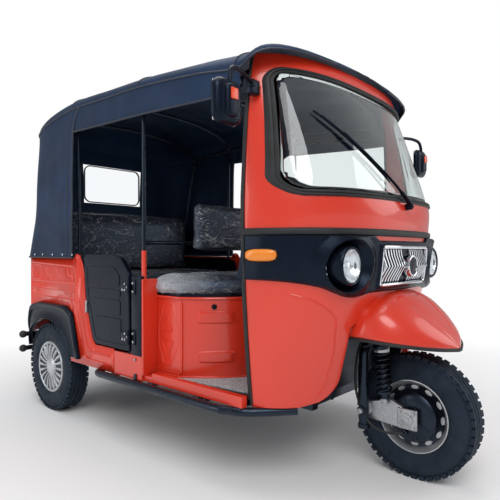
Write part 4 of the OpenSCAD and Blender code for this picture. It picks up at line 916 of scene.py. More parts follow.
def soft_box(name, lo, hi, r, material, replaces, body=BODY, push=0.0, most=0.02):
    """Cushion from a box with round edges, its faces pushed out by its filling."""
    bm = bmesh.new()
    block(bm, lo, hi, r, 4)
    bmesh.ops.subdivide_edges(bm, edges=[e for e in bm.edges if e.calc_length() > 0.05], cuts=9, use_grid_fill=True)
    c = (at(*lo) + at(*hi)) / 2
    half = (at(*hi) - at(*lo)) / 2
    for v in bm.verts:
        d = v.co - c
        k = [min(abs(d[i] / half[i]), 1) if half[i] else 0 for i in range(3)]
        for i in range(3):
            j, m = (i + 1) % 3, (i + 2) % 3
            v.co[i] += math.copysign(push, d[i]) * k[i] ** 2 * (1 - k[j] ** 4) * (1 - k[m] ** 4) / 1000
    ob = finish_piece(name, bm, material, body, replaces, crease=60)
    inflate(ob, lo[2] / 1000, most=most)
    return ob


class RICKSHAW_OT_seats(bpy.types.Operator):
    """Bench, backrests and the film over them"""
    bl_idname = "rickshaw.seats"
    bl_label = "Seats"

    def execute(self, context):
        cushion = soft_box("Bench cushion", (-60, -520, 718), (430, 520, 812), 26, MATERIALS["embossed_leathercloth"],
                           ["bench_cushion"], push=9)
        back = soft_box("Bench backrest", (-160, -520, 850), (-60, 520, 1250), 30, MATERIALS["embossed_leathercloth"],
                        ["bench_backrest"], push=9)
        driver = soft_box("Driver backrest", (981, -332, 988), (1041, 332, 1232), 22, MATERIALS["embossed_leathercloth"],
                          ["driver_backrest"], push=5, most=0.008)
        for piece, name, out, depth in ((cushion, "Bench film", 0.004, 0.009), (back, "Bench back film", 0.004, 0.009),
                                        (driver, "Driver back film", 0.002, 0.004)):
            film_over(piece, name, BODY, out, depth)
        return {"FINISHED"}


def tyre(bm, x, y, z, rim_r, outer_r, width, step):
    """Tyre carcass with grooved tread blocks."""
    w = width / 2
    profile = [(rim_r, -w * 0.72), (rim_r + 4, -w * 0.82), (rim_r + 20, -w * 0.96), (rim_r + 45, -w),
               (outer_r - 38, -w * 0.97), (outer_r - 18, -w * 0.86), (outer_r - 8, -w * 0.76)]
    tread = [(outer_r - 2, -w * 0.68), (outer_r, -w * 0.45), (outer_r - 6, -w * 0.42), (outer_r - 6, -w * 0.36),
             (outer_r, -w * 0.33), (outer_r + 0.5, -w * 0.1), (outer_r - 6, -w * 0.07)]
    half = profile + tread
    full = half + [(r, -h) for r, h in reversed(half)]
    lathe(bm, full, (x, y, z), steps=step)


class RICKSHAW_OT_wheels(bpy.types.Operator):
    """Tyres, rims and rear wheel trims"""
    bl_idname = "rickshaw.wheels"
    bl_label = "Wheels"

    def execute(self, context):
        places = [("Front", FRONT_WHEEL, WHEELBASE, 0.0, ["front_tyre"]),
                  ("Right", "rear_wheel_right", 0.0, -TRACK, ["rear_tyre_right"]),
                  ("Left", "rear_wheel_left", 0.0, TRACK, ["rear_tyre_left"])]
        for label, body, x, y, nodes in places:
            bm = bmesh.new()
            tyre(bm, x, y, WHEEL_R, 153, 264, 124, 180)
            for s in (-1, 1):
                for i in range(46):
                    a = 2 * math.pi * (i + 0.25 * s) / 46
                    turn = Matrix.Translation(at(x, y, WHEEL_R)) @ Matrix.Rotation(a, 4, "Y")
                    made = bmesh.ops.create_cube(bm, size=1, matrix=turn @ Matrix.Translation((0, s * 0.044, 0.2545))
                                                 @ Matrix.Rotation(s * 0.22, 4, "X") @ Matrix.Diagonal((0.025, 0.026, 0.017, 1)))
            finish_piece(f"{label} tyre", bm, MATERIALS["tyre_rubber"], body, nodes, crease=30)
        # Front rim: pressed disc with twelve slots and a rolled edge
        bm = bmesh.new()
        c = (WHEELBASE, 0, WHEEL_R)
        lathe(bm, [(152, -50), (160, -50), (162, -46), (156, -44), (146, -40), (140, -20), (140, 20), (146, 40),
                   (156, 44), (162, 46), (160, 50), (152, 50), (134, 24), (134, -24), (152, -50)], c)
        finish_piece("Front rim", bm, MATERIALS["silver_enamel"], FRONT_WHEEL, ["front_rim"])
        bm = bmesh.new()
        lathe(bm, [(60, -26), (72, -30), (84, -24), (122, -18), (137, -23)], c)
        finish_piece("Front rim disc", bm, MATERIALS["black_enamel"], FRONT_WHEEL)
        bm = bmesh.new()
        for i in range(12):
            place = (Matrix.Translation(at(WHEELBASE, -22, WHEEL_R)) @ Matrix.Rotation(math.pi / 6 * i, 4, "Y")
                     @ Matrix.Translation((0, 0, 0.123)) @ Matrix.Rotation(math.pi / 2, 4, "X") @ Matrix.Diagonal((1.9, 1, 1, 1)))
            bmesh.ops.create_cone(bm, cap_ends=True, segments=24, radius1=0.0095, radius2=0.0085, depth=0.006, matrix=place)
        finish_piece("Front rim slots", bm, MATERIALS["silver_enamel"], FRONT_WHEEL)
        for label, body, side in (("Right", "rear_wheel_right", -1), ("Left", "rear_wheel_left", 1)):
            y = side * TRACK
            bm = bmesh.new()
            lathe(bm, [(152, -50), (160, -50), (162, -46), (146, -40), (140, -20), (140, 20), (146, 40),
                       (162, 46), (160, 50), (152, 50), (134, 24), (134, -24), (152, -50)], (0, y, WHEEL_R))
            lathe(bm, [(40, -6 * side), (110, 0), (136, 10 * side)], (0, y, WHEEL_R))
            finish_piece(f"{label} rim", bm, MATERIALS["silver_enamel"], body, [f"rear_rim_{label.lower()}"])
            bm = bmesh.new()
            face = y + side * 52
            lathe(bm, [(150, -6 * side), (156, -2 * side), (154, 3 * side), (146, 5 * side), (140, 1 * side)], (0, face, WHEEL_R))
            # Painted shade: a black dish behind the ribs stands in for the dark seen through the trim's openings
            dark = bmesh.new()
            lathe(dark, [(142, 0), (120, -4 * side), (50, -3 * side), (48, -8 * side)], (0, face, WHEEL_R))
            finish_piece(f"{label} trim openings", dark, MATERIALS["black_moulding"], body)
            lathe(bm, [(0.5, 9 * side), (30, 9 * side), (34, 7 * side), (44, 6 * side), (50, 2 * side), (60, -3 * side)], (0, face, WHEEL_R))
            for i in range(20):
                a = 2 * math.pi * i / 20
                m = Matrix.Translation(at(0, face, WHEEL_R)) @ Matrix.Rotation(a, 4, "Y")
                rings = []
                for r, w, h in ((46, 5, 1), (70, 6, 6), (105, 9, 8), (138, 12, 3)):
                    rings.append([m @ Vector(((u * w) / 1000, side * v / 1000, r / 1000)) for u, v in
                                  ((-1, -6), (-0.7, h - 1.5), (0, h), (0.7, h - 1.5), (1, -6))])
                bridge(bm, rings, closed=False)
            finish_piece(f"{label} wheel trim", bm, MATERIALS["silver_enamel"], body,
                         [f"hubcap_{label.lower()}"], crease=30)
        return {"FINISHED"}


def rounded(points, n=6):
    """Outline from (x, z, corner radius) points, radius 0 giving one sharp point."""
    out = []
    m = len(points)
    for i, (x, z, r) in enumerate(points):
        p = Vector((x, z, 0))
        if r <= 0:
            out.append((x, z))
            continue
        u = (Vector((*points[i - 1][:2], 0)) - p).normalized()
        v = (Vector((*points[(i + 1) % m][:2], 0)) - p).normalized()
        half = math.acos(max(-0.9999, min(0.9999, u.dot(v)))) / 2
        room = min((Vector((*points[i - 1][:2], 0)) - p).length, (Vector((*points[(i + 1) % m][:2], 0)) - p).length)
        t = min(r / math.tan(half), 0.45 * room)
        r = t * math.tan(half)
        c = p + (u + v).normalized() * r / math.sin(half)
        for k in range(n + 1):
            q = ((p + u * t).lerp(p + v * t, k / n) - c).normalized() * r + c
            out.append((q.x, q.y))
    return out


def plate(bm, outline, y0, y1):
    """Flat plate between two places across, from an X and Z outline."""
    edges = add_loop(bm, [at(x, y0, z) for x, z in outline])
    face = bmesh.ops.contextual_create(bm, geom=edges)["faces"]
    made = bmesh.ops.extrude_face_region(bm, geom=face)
    bmesh.ops.translate(bm, verts=[v for v in made["geom"] if isinstance(v, bmesh.types.BMVert)],
                        vec=(0, (y1 - y0) / 1000, 0))


def bead(bm, points, side, y, r=5.0, closed=False, flat=0.55, n=5, smooth=True):
    """Pressed bead on a side panel along X and Z points."""
    path = [at(x, side * (y - 650 + corner_y(x)), z) for x, z in points]
    tube(bm, smooth_path(path, n) if smooth and not closed else path, r / 1000, 10, closed, flat)


def arc(cx, cz, r, a0, a1, n=24):
    return [(cx + r * math.cos(a0 + (a1 - a0) * i / n), cz + r * math.sin(a0 + (a1 - a0) * i / n)) for i in range(n + 1)]


QUARTER = [(-268, 942, 0), (322, 937, 10), (350, 967, 16), (384, 957, 20), (418, 912, 24), (434, 856, 30),
           (447, 736, 60), (477, 627, 60), (519, 502, 24), (552, 472, 20), (733, 472, 0), (733, 345, 0)]
DOOR = [(441, 966, 26), (735, 966, 40), (800, 945, 30), (872, 868, 26), (879, 476, 14), (561, 480, 24), (530, 503, 24),
        (489, 628, 60), (459, 737, 60), (444, 857, 30)]


CORNER_X, CORNER_R, TAIL_X = -198.0, 140.0, -338.0


def corner_y(x):
    """Half width of the rear body, its corners rounded in plan."""
    k = min(max(CORNER_X - x, 0.0), CORNER_R)
    return 650 - CORNER_R + math.sqrt(CORNER_R ** 2 - k * k)


def unroll(u):
    """Place along the body's skin, measured as X on the side and going on round the corner and the tail."""
    turn = (CORNER_X - u) / CORNER_R
    if turn <= 0:
        return u, 650.0
    if turn < math.pi / 2:
        return CORNER_X - CORNER_R * math.sin(turn), 650 - CORNER_R + CORNER_R * math.cos(turn)
    return TAIL_X, 650 - CORNER_R - CORNER_R * (turn - math.pi / 2)


class RICKSHAW_OT_side_panels(bpy.types.Operator):
    """Rear body skin, arch mouldings, door posts and tail lamps"""
    bl_idname = "rickshaw.side_panels"
    bl_label = "Body sides"

    def execute(self, context):
        steel = bmesh.new()
        edge = bmesh.new()
        middle = CORNER_X - CORNER_R * math.pi / 2 - (650 - CORNER_R)
        arch_end = CORNER_X - CORNER_R * math.asin((300 * math.cos(math.pi - 2.676) + CORNER_X) / CORNER_R)
        for side in (-1, 1):
            outline = [(middle, 942)] + rounded(QUARTER)[1:]
            wheel_cut = arc(0, WHEEL_R, 300, 0.268, 2.676, 40)
            outline += [(x if x > CORNER_X else CORNER_X - CORNER_R * math.asin((CORNER_X - x) / CORNER_R), z) for x, z in wheel_cut]
            outline += [(arch_end - 24, 452), (middle, 452)]
            edges = add_loop(steel, [Vector((x / 1000, side, z / 1000)) for x, z in outline])
            bmesh.ops.contextual_create(steel, geom=edges)
        cuts = [CORNER_X + 12 - k * 12 for k in range(21)] + [middle + 120 * k for k in range(1, 5)] + list(range(-130, 720, 70))
        for u in cuts:
            bmesh.ops.bisect_plane(steel, geom=steel.verts[:] + steel.edges[:] + steel.faces[:], plane_co=(u / 1000, 0, 0),
                                   plane_no=(1, 0, 0), dist=1e-6)
        for v in steel.verts:
            side = math.copysign(1, v.co.y)
            x, y = unroll(v.co.x * 1000)
            v.co = at(x, side * y, v.co.z * 1000)
        bmesh.ops.remove_doubles(steel, verts=steel.verts, dist=1e-5)
        bmesh.ops.recalc_face_normals(steel, faces=steel.faces)
        if sum(f.normal.y * f.calc_center_median().y for f in steel.faces) < 0:
            bmesh.ops.reverse_faces(steel, faces=steel.faces)
        finish_piece("Rear body", steel, MATERIALS["orange_enamel"], BODY, ["quarter_panels", "tail_panel"],
                     solid=context.scene.rickshaw.skin, recalc=False, crease=25)
        lining = bmesh.new()
        for side in (-1, 1):
            plate(lining, rounded([(-240, 930, 30), (320, 925, 30), (400, 905, 30), (430, 760, 30), (480, 560, 60), (520, 480, 20),
                                   (300, 470, 20), (230, 560, 60), (-150, 560, 60), (-240, 500, 20)]), side * 596, side * 602)
        finish_piece("Cabin lining", lining, MATERIALS["black_moulding"], BODY, bevel=0.002)
        lamps, glow = bmesh.new(), bmesh.new()
        amber = bmesh.new()
        for side in (-1, 1):
            lo, hi = sorted((side * 447, side * 553))
            block(lamps, (-352, lo, 692), (-334, hi, 858), 8, 3)
            block(glow, (-360, lo + 7, 699), (-350, hi - 7, 790), 5, 3)
            block(amber, (-360, lo + 7, 795), (-350, hi - 7, 851), 5, 3)
        finish_piece("Tail lamp housings", lamps, MATERIALS["black_moulding"], BODY, ["tail_lamps"])
        finish_piece("Tail lamp lenses", glow, MATERIALS["red_acrylic"], BODY)
        finish_piece("Tail turn lenses", amber, MATERIALS["amber_acrylic"], BODY)
        for side in (-1, 1):
            y = 649
            bead(edge, rounded([(-222, 911, 18), (329, 893, 18), (354, 796, 18), (-200, 797, 14)]), side, y, 5, True)
            bead(edge, rounded([(-196, 894, 8), (-84, 894, 8), (-84, 806, 8), (-196, 806, 8)]), side, y, 3.5, True)
            for x in (-10, 118, 250):
                bead(edge, [(x - 8, 882), (x, 850), (x + 16, 836), (x + 46, 838), (x + 58, 808)], side, y, 4, n=4)
                bead(edge, [(x + 6, 808), (x + 36, 808)], side, y, 4)
            bead(edge, rounded([(-182, 747, 0), (352, 749, 26), (385, 700, 40), (462, 486, 40), (482, 434, 14), (690, 432, 0)]),
                 side, y, 6, smooth=False)
            bead(edge, rounded([(-171, 705, 0), (326, 699, 26), (362, 640, 40), (432, 440, 40), (452, 386, 14), (690, 380, 0)]),
                 side, y, 4.5, smooth=False)
            block(edge, (345, side * 640 - 11, 936), (370, side * 640 + 11, 958), 4)
        finish_piece("Panel pressings", edge, MATERIALS["orange_enamel"], BODY)

        lip = bmesh.new()
        for side in (-1, 1):
            outer = rounded([(-338, 371, 0), (-300, 470, 60), (-205, 640, 50), (-76, 665, 60), (242, 662, 44), (319, 625, 40),
                             (396, 371, 0)], 8)
            inner = arc(0, WHEEL_R, 298, 0.36, 2.79, 60)
            a = resample([Vector((x, z, 0)) for x, z in outer], 80)
            b = resample([Vector((x, z, 0)) for x, z in reversed(inner)], 80)
            steps = [(0.0, 649), (0.0, 662), (0.05, 670), (0.16, 672), (0.26, 668), (0.3, 660), (0.8, 658), (0.9, 666),
                     (0.97, 668), (1.0, 662), (1.0, 640)]
            rings = []
            for t, y in steps:
                ring = []
                for p, q in zip(a, b):
                    x, z = p.x + (q.x - p.x) * t, p.y + (q.y - p.y) * t
                    ring.append(at(x, side * (y - 650 + corner_y(x)), z))
                rings.append(ring)
            bridge(lip, rings, closed=False)
        finish_piece("Arch mouldings", lip, MATERIALS["black_moulding"], BODY, ["arch_flares"], crease=45,
                     solid=0.003)

        post = bmesh.new()
        for side in (-1, 1):
            lo, hi = sorted((side * 560, side * 650))
            block(post, (972, lo, 372), (986, hi, 844), 5, 3)
        finish_piece("Post covers", post, MATERIALS["orange_enamel"], BODY, ["door_posts"])
        strip, screws = bmesh.new(), bmesh.new()
        for side in (-1, 1):
            lo, hi = sorted((side * 631, side * 652))
            block(strip, (892, lo, 463), (973, hi, 857), 4, 3)
            for z in (550, 800):
                lo, hi = sorted((side * 650, side * 656))
                block(strip, (893, lo, z - 36), (930, hi, z + 36), 2)
                for dz in (-28, 28):
                    disc(strip, (888, side * 665, z + dz), (0, 0, 1), 9, 15, 1.5, 20)
                for dz in (-21, 21):
                    disc(screws, (911, side * 657, z + dz), (0, 1, 0), 7, 6, 2, 16)
            disc(screws, (920, side * 653, 442), (0, 1, 0), 7, 6, 2, 16)
        finish_piece("Hinge strips", strip, MATERIALS["black_moulding"], BODY)
        finish_piece("Hinge screws", screws, MATERIALS["zinc_plate"], BODY)
        return {"FINISHED"}


class RICKSHAW_OT_doors(bpy.types.Operator):
    """Both half doors with their straps and latches"""
    bl_idname = "rickshaw.doors"
    bl_label = "Half doors"

    def execute(self, context):
        for label, side, body in (("right", -1, "right_door"), ("left", 1, "left_door")):
            bm = bmesh.new()
            plate(bm, rounded(DOOR), side * 627, side * 654)
            finish_piece(f"Half door {label}", bm, MATERIALS["black_moulding"], body, [f"door_{label}"],
                         bevel=0.005, crease=30)
            bm = bmesh.new()
            for pts in ([(500, 898, 14), (738, 898, 20), (792, 858, 16), (792, 800, 14), (516, 800, 14)],
                        [(520, 782, 12), (800, 782, 12), (800, 744, 12), (528, 744, 12)],
                        [(532, 730, 14), (800, 730, 14), (800, 650, 14), (550, 650, 14)],
                        [(556, 634, 14), (806, 634, 14), (806, 530, 14), (590, 530, 20), (570, 570, 20)]):
                plate(bm, rounded(pts, 4), side * 650, side * 657)
            bead(bm, [(470, 900), (480, 800), (492, 728), (520, 640), (548, 550), (566, 512), (620, 503), (836, 503)],
                 side, 654, 4, n=8)
            finish_piece(f"Door pressings {label}", bm, MATERIALS["black_moulding"], body, bevel=0.003, crease=30)
            bm = bmesh.new()
            for z in (550, 800):
                lo, hi = sorted((side * 654, side * 660))
                block(bm, (812, lo, z - 20), (884, hi, z + 20), 2)
                disc(bm, (888, side * 665, z), (0, 0, 1), 9, 38, 1.5, 20)
            finish_piece(f"Door straps {label}", bm, MATERIALS["black_moulding"], body)
            bm = bmesh.new()
            for z in (550, 800):
                for x, dz in ((848, 15), (848, -15), (868, 0), (828, -15)):
                    disc(bm, (x, side * 661, z + dz), (0, 1, 0), 6.5, 6, 2, 16)
            lo, hi = sorted((side * 648, side * 661))
            block(bm, (464, lo, 640), (478, hi, 708), 3)
            disc(bm, (478, side * 660, 690), (0, 1, 0), 6, 8, 1.5, 16)
            finish_piece(f"Door screws {label}", bm, MATERIALS["zinc_plate"], body)
        return {"FINISHED"}


def box_plan(out, n=90):
    """Half of the seat box plan: rear corner, straight side, curved front to the middle line and back."""
    r = 644 + out
    side = 560 + out
    end = math.asin(side / r)
    pts = [(957 - out, -side), (1100, -side)]
    pts += [(836 + r * math.cos(a), r * math.sin(a)) for a in (-end + 2 * end * i / 60 for i in range(61))]
    pts += [(1100, side), (957 - out, side)]
    return [(p.x, p.y) for p in resample([Vector((x, y, 0)) for x, y in pts], n)]


class RICKSHAW_OT_seat_base(bpy.types.Operator):
    """Pressed seat box with its pad and film"""
    bl_idname = "rickshaw.seat_base"
    bl_label = "Driver seat"

    def execute(self, context):
        bm = bmesh.new()

        def step(v, lo, hi, soft):
            return min(max((v - lo) / soft, 0), 1) * min(max((hi - v) / soft, 0), 1)

        rings = []
        for z in heights(372, 752, 95):
            ring = []
            for (x, y), (xo, yo) in zip(box_plan(0, 240), box_plan(10, 240)):
                a = abs(math.atan2(y, x - 836))
                slant = abs(z - 571) / 2600
                band = max(step(z, 635, 693, 6), step(z, 448, 502, 6))
                centre = step(a, 0.60 + slant, 0.945 - slant, 0.02)
                foot = step(z, 300, 384, 5)
                t = 0.8 * band * centre + 0.5 * foot + 0.35 * step(a, -1, 0.2, 0.04) * step(z, 400, 740, 10)
                ring.append(at(x + (xo - x) * t, y + (yo - y) * t, z))
            rings.append(ring)
        bridge(bm, rings, closed=False)
        for side in (-1, 1):
            y = 560
            bead(bm, rounded([(978, 738, 16), (1168, 738, 16), (1168, 392, 16), (978, 392, 16)]), side, y, 4, True)
            bead(bm, rounded([(1036, 720, 6), (1104, 720, 6), (1146, 608, 6), (1146, 540, 6), (1092, 428, 6), (1030, 428, 6),
                              (992, 532, 6), (992, 603, 6)], 3), side, y, 4, True)
            bead(bm, rounded([(1062, 676, 8), (1104, 588, 8), (1016, 588, 8)], 3), side, y, 3.5, True)
            bead(bm, rounded([(1012, 546, 8), (1112, 546, 8), (1064, 462, 8)], 3), side, y, 3.5, True)
        rim = bmesh.new()
        tube(rim, [at(x, y, 755) for x, y in box_plan(3, 160)], 0.007, 10)
        finish_piece("Seat box shell", bm, MATERIALS["orange_enamel"], BODY, ["seat_box"], crease=28)
        finish_piece("Seat box rim", rim, MATERIALS["orange_enamel"], BODY)
        bm = bmesh.new()
        disc(bm, (1288, -460, 715), (0.7, -0.7, 0), 13, 12, 3, 24)
        disc(bm, (1292, -464, 715), (0.7, -0.7, 0), 8, 12, 2, 20)
        finish_piece("Seat box lock", bm, MATERIALS["black_moulding"], BODY)

        bm = bmesh.new()
        plan = box_plan(-4, 120)
        centre = Vector((1150, 0))

        def shrink(k, z):
            return [at(x + (centre.x - x) * k, y + (0 - y) * k, z) for x, y in plan]

        rings = [shrink(0.03, 776), shrink(0.0, 782), shrink(-0.012, 800), shrink(-0.012, 822), shrink(0.0, 838),
                 shrink(0.025, 847), shrink(0.08, 851)]
        rings += [shrink(k, 853) for k in (0.16, 0.26, 0.38, 0.5, 0.64, 0.8, 0.95)]
        bridge(bm, rings)
        open_edges = [e for e in bm.edges if e.is_boundary]
        bmesh.ops.holes_fill(bm, edges=open_edges, sides=0)
        pad = finish_piece("Driver seat pad", bm, MATERIALS["embossed_leathercloth"], "seat_top", ["driver_cushion"],
                           crease=60)
        inflate(pad, 0.79, most=0.008)
        film_over(pad, "Driver seat film", "seat_top", 0.004, 0.008)
        return {"FINISHED"}


def film_over(source, name, body, out, depth):
    """Creased clear film that lies loosely over a cushion."""
    from_mesh = source.data
    bm = bmesh.new()
    bm.from_mesh(from_mesh)
    bmesh.ops.subdivide_edges(bm, edges=[e for e in bm.edges if e.calc_length() > 0.02], cuts=1, use_grid_fill=True)
    bmesh.ops.triangulate(bm, faces=[f for f in bm.faces if len(f.verts) > 4])
    bm.normal_update()
    for v in bm.verts:
        q = v.co * 9
        fold = noise.noise(q * 1.3 + noise.noise_vector(q * 0.7) * 1.6)
        fine = noise.noise(Vector((q.x * 6.0, q.y * 2.4, q.z * 6.0)) + noise.noise_vector(q * 2.0))
        v.co += v.normal * (out + depth * abs(fold) + depth * 0.45 * (1 - abs(fine) * 2) ** 3)
    bmesh.ops.delete(bm, geom=[f for f in bm.faces if f.normal.z < -0.7], context="FACES")
    ob = finish_piece(name, bm, MATERIALS["clear_film"], body, crease=70, recalc=False)
    return ob


class RICKSHAW_OT_tubes(bpy.types.Operator):
    """Side steps, canopy tubes, lower poles and bumper ends"""
    bl_idname = "rickshaw.tubes"
    bl_label = "Tubes"

    def execute(self, context):
        bm = bmesh.new()
        for side in (-1, 1):
            path = smooth_path([at(575, side * 620, 331), at(592, side * 655, 326), at(700, side * 662, 326),
                                at(1100, side * 662, 326), at(1480, side * 662, 326), at(1560, side * 645, 326),
                                at(1640, side * 610, 326), at(1780, side * 462, 327)], 6)
            tube(bm, path, context.scene.rickshaw.step_radius, 16)
            for x in (930, 1420):
                tube(bm, [at(x, side * 600, 341), at(x, side * 655, 330)], 0.009, 12)
                lo, hi = sorted((side * 604, side * 634))
            block(bm, (912, *sorted((side * 632, side * 655))[:1], 330), (934, *sorted((side * 632, side * 655))[1:], 372), 3)
        finish_piece("Side steps", bm, MATERIALS["black_enamel"], BODY, ["side_steps"])
        bm = bmesh.new()
        for side in (-1, 1):
            for z in (325, 420):
                made = bmesh.ops.create_uvsphere(bm, u_segments=28, v_segments=16, radius=0.0245,
                                                 matrix=Matrix.Translation(at(-405, side * 625, z)))
        finish_piece("Bumper ends", bm, MATERIALS["black_rubber"], BODY, ["rubber_buffers"])
        bm = bmesh.new()
        for x, rail, crown in ((-80, 1702, 1855), (320, 1745, 1895), (955, 1712, 1870), (1610, 1655, 1828)):
            pts = []
            for i in range(33):
                t = math.cos(math.pi * i / 32)
                pts.append(at(x, 620 * t, rail + (crown - rail) * max(1 - abs(t) ** 2.4, 0) ** 0.55))
            tube(bm, pts, 0.01, 12)
        for side in (-1, 1):
            y = side * 620
            tube(bm, smooth_path([at(-80, y, 1702), at(320, y, 1745), at(955, y, 1712), at(1610, y, 1655)], 8), 0.01, 12)
            tube(bm, [at(955, y, 985), at(955, y, 1712)], 0.01, 12)
            tube(bm, [at(320, side * 605, 700), at(320, y, 1745)], 0.01, 12)
            tube(bm, [at(-240, side * 560, 700), at(-80, y, 1702)], 0.01, 12)
        tube(bm, [at(955, -620, 1022), at(955, 620, 1022)], 0.01, 12)
        finish_piece("Canopy tubes", bm, MATERIALS["black_enamel"], BODY, ["canopy_frame"])
        bm = bmesh.new()
        for side in (-1, 1):
            tube(bm, [at(955, side * 620, 372), at(955, side * 620, 983)], context.scene.rickshaw.pole_radius, 16)
        finish_piece("Lower poles", bm, MATERIALS["orange_enamel"], BODY)
        return {"FINISHED"}


def coil(bm, a, b, r, wire, turns, sides=8):
    d = (b - a)
    up = d.normalized()
    side = up.cross(Vector((0, 1, 0))).normalized()
    top = up.cross(side)
    n = int(turns * 20)
    tube(bm, [a + d * i / n + side * r * math.cos(2 * math.pi * turns * i / n) + top * r * math.sin(2 * math.pi * turns * i / n)
              for i in range(n + 1)], wire, sides)


class RICKSHAW_OT_front_leg(bpy.types.Operator):
    """Leg, leading arm, coil spring, brake plate and cable"""
    bl_idname = "rickshaw.front_leg"
    bl_label = "Front leg"

    def execute(self, context):
        y = -120
        bm = bmesh.new()
        tube(bm, smooth_path([at(1913, 0, 575), at(1908, -62, 568), at(1898, -110, 540), at(1895, y, 480), at(1895, y, 200)], 6),
             [0.022] * 25, 18)
        axis = Vector((-math.sin(math.radians(20)), 0, math.cos(math.radians(20))))
        foot = at(1905, 0, 600)
        tube(bm, [foot - axis * 0.02, foot + axis * 0.555], 0.0178, 18)
        tube(bm, [at(1895, y, 556), at(1978, y, 592)], 0.013, 14)
        disc(bm, (1978, y, 592), (0, 1, 0), 16, 42, 3)
        disc(bm, (1895, -110, 273.5), (0, 1, 0), 20, 76, 3)
        disc(bm, (1895, y, 202), (0, 0, 1), 26, 22, 4)
        tube(bm, [at(1872, y, 330), at(1872, y, 470)], 0.006, 8)
        finish_piece("Front leg", bm, MATERIALS["black_enamel"], STEERING, ["steering_fork"])

        bm = bmesh.new()
        outline = rounded([(1872, 246, 22), (1910, 232, 20), (2050, 222, 10), (2066, 222, 14), (2066, 312, 14), (2040, 322, 12),
                           (1985, 348, 12), (1960, 322, 20), (1905, 308, 22), (1870, 296, 20)], 6)
        plate(bm, outline, -98, -74)
        block(bm, (2046, -104, 222), (2134, -92, 310), 5, 3)
        disc(bm, (1895, -92, 273.5), (0, 1, 0), 30, 30, 4)
        disc(bm, (WHEELBASE, -98, WHEEL_R), (0, 1, 0), 26, 22, 4)
        disc(bm, (2000, -112, 330), (0, 1, 0), 15, 44, 3)
        bmesh.ops.recalc_face_normals(bm, faces=bm.faces)
        finish_piece("Leading arm", bm, MATERIALS["zinc_plate"], STEERING, ["suspension_arm"], bevel=0.003)
        bm = bmesh.new()
        for x, z in ((2060, 236), (2120, 236), (2060, 296), (2120, 296), (WHEELBASE, WHEEL_R), (1895, 273.5)):
            r = 8 if z != WHEEL_R and z != 273.5 else 14
            disc(bm, (x, -108, z), (0, 1, 0), r, 12, 1, 6)
            disc(bm, (x, -103, z), (0, 1, 0), r + 4, 3, 0.6, 20)
        disc(bm, (1895, -152, 273.5), (0, 1, 0), 13, 12, 1, 6)
        disc(bm, (1978, -144, 592), (0, 1, 0), 11, 10, 1, 6)
        finish_piece("Leg bolts", bm, MATERIALS["zinc_plate"], STEERING)

        low, top = at(2000, y, 330), at(1978, y, 592)
        d = (top - low).normalized()
        bm = bmesh.new()
        coil(bm, low + d * 0.045, top - d * 0.034, 0.029, 0.0048, 8.5)
        tube(bm, [low + d * 0.012, low + d * 0.15], 0.017, 18)
        tube(bm, [low + d * 0.036, low + d * 0.045], 0.036, 24)
        tube(bm, [top - d * 0.034, top - d * 0.024], 0.036, 24)
        boot = []
        for i in range(25):
            boot.append((low + d * (0.15 + 0.07 * i / 24), 0.019 if i % 2 else 0.015))
        tube(bm, [p for p, r in boot], [r for p, r in boot], 18)
        finish_piece("Shock spring", bm, MATERIALS["black_enamel"], STEERING, ["shock_absorber"])
        bm = bmesh.new()
        tube(bm, [low + d * 0.15, top - d * 0.012], 0.008, 14)
        tube(bm, [top - d * 0.05, top - d * 0.036], 0.033, 24)
        finish_piece("Shock rod", bm, MATERIALS["silver_enamel"], STEERING)

        bm = bmesh.new()
        c = (WHEELBASE, 0, WHEEL_R)
        lathe(bm, [(14, -72), (60, -73), (84, -70), (100, -64), (107, -58), (108, -52), (98, -52), (96, -60), (14, -62)], c)
        for i in range(8):
            a = math.pi / 4 * i + 0.3
            tube(bm, [at(WHEELBASE + 40 * math.cos(a), -73, WHEEL_R + 40 * math.sin(a)),
                      at(WHEELBASE + 92 * math.cos(a), -69, WHEEL_R + 92 * math.sin(a))], 0.004, 8)
        disc(bm, (WHEELBASE - 20, -78, WHEEL_R - 66), (0, 1, 0), 12, 14, 3, 20)
        finish_piece("Brake plate", bm, MATERIALS["black_enamel"], STEERING, ["brake_plate"])
        bm = bmesh.new()
        hose = smooth_path([at(1900, -100, 596), at(1866, -112, 540), at(1852, -118, 440), at(1862, -122, 330),
                            at(1920, -126, 226), at(2000, -120, 196), at(2066, -88, 198)], 14)
        tube(bm, hose, [0.0062 if i % 2 else 0.0052 for i in range(len(hose))], 8)
        finish_piece("Brake cable sleeve", bm, MATERIALS["black_rubber"], STEERING)
        return {"FINISHED"}


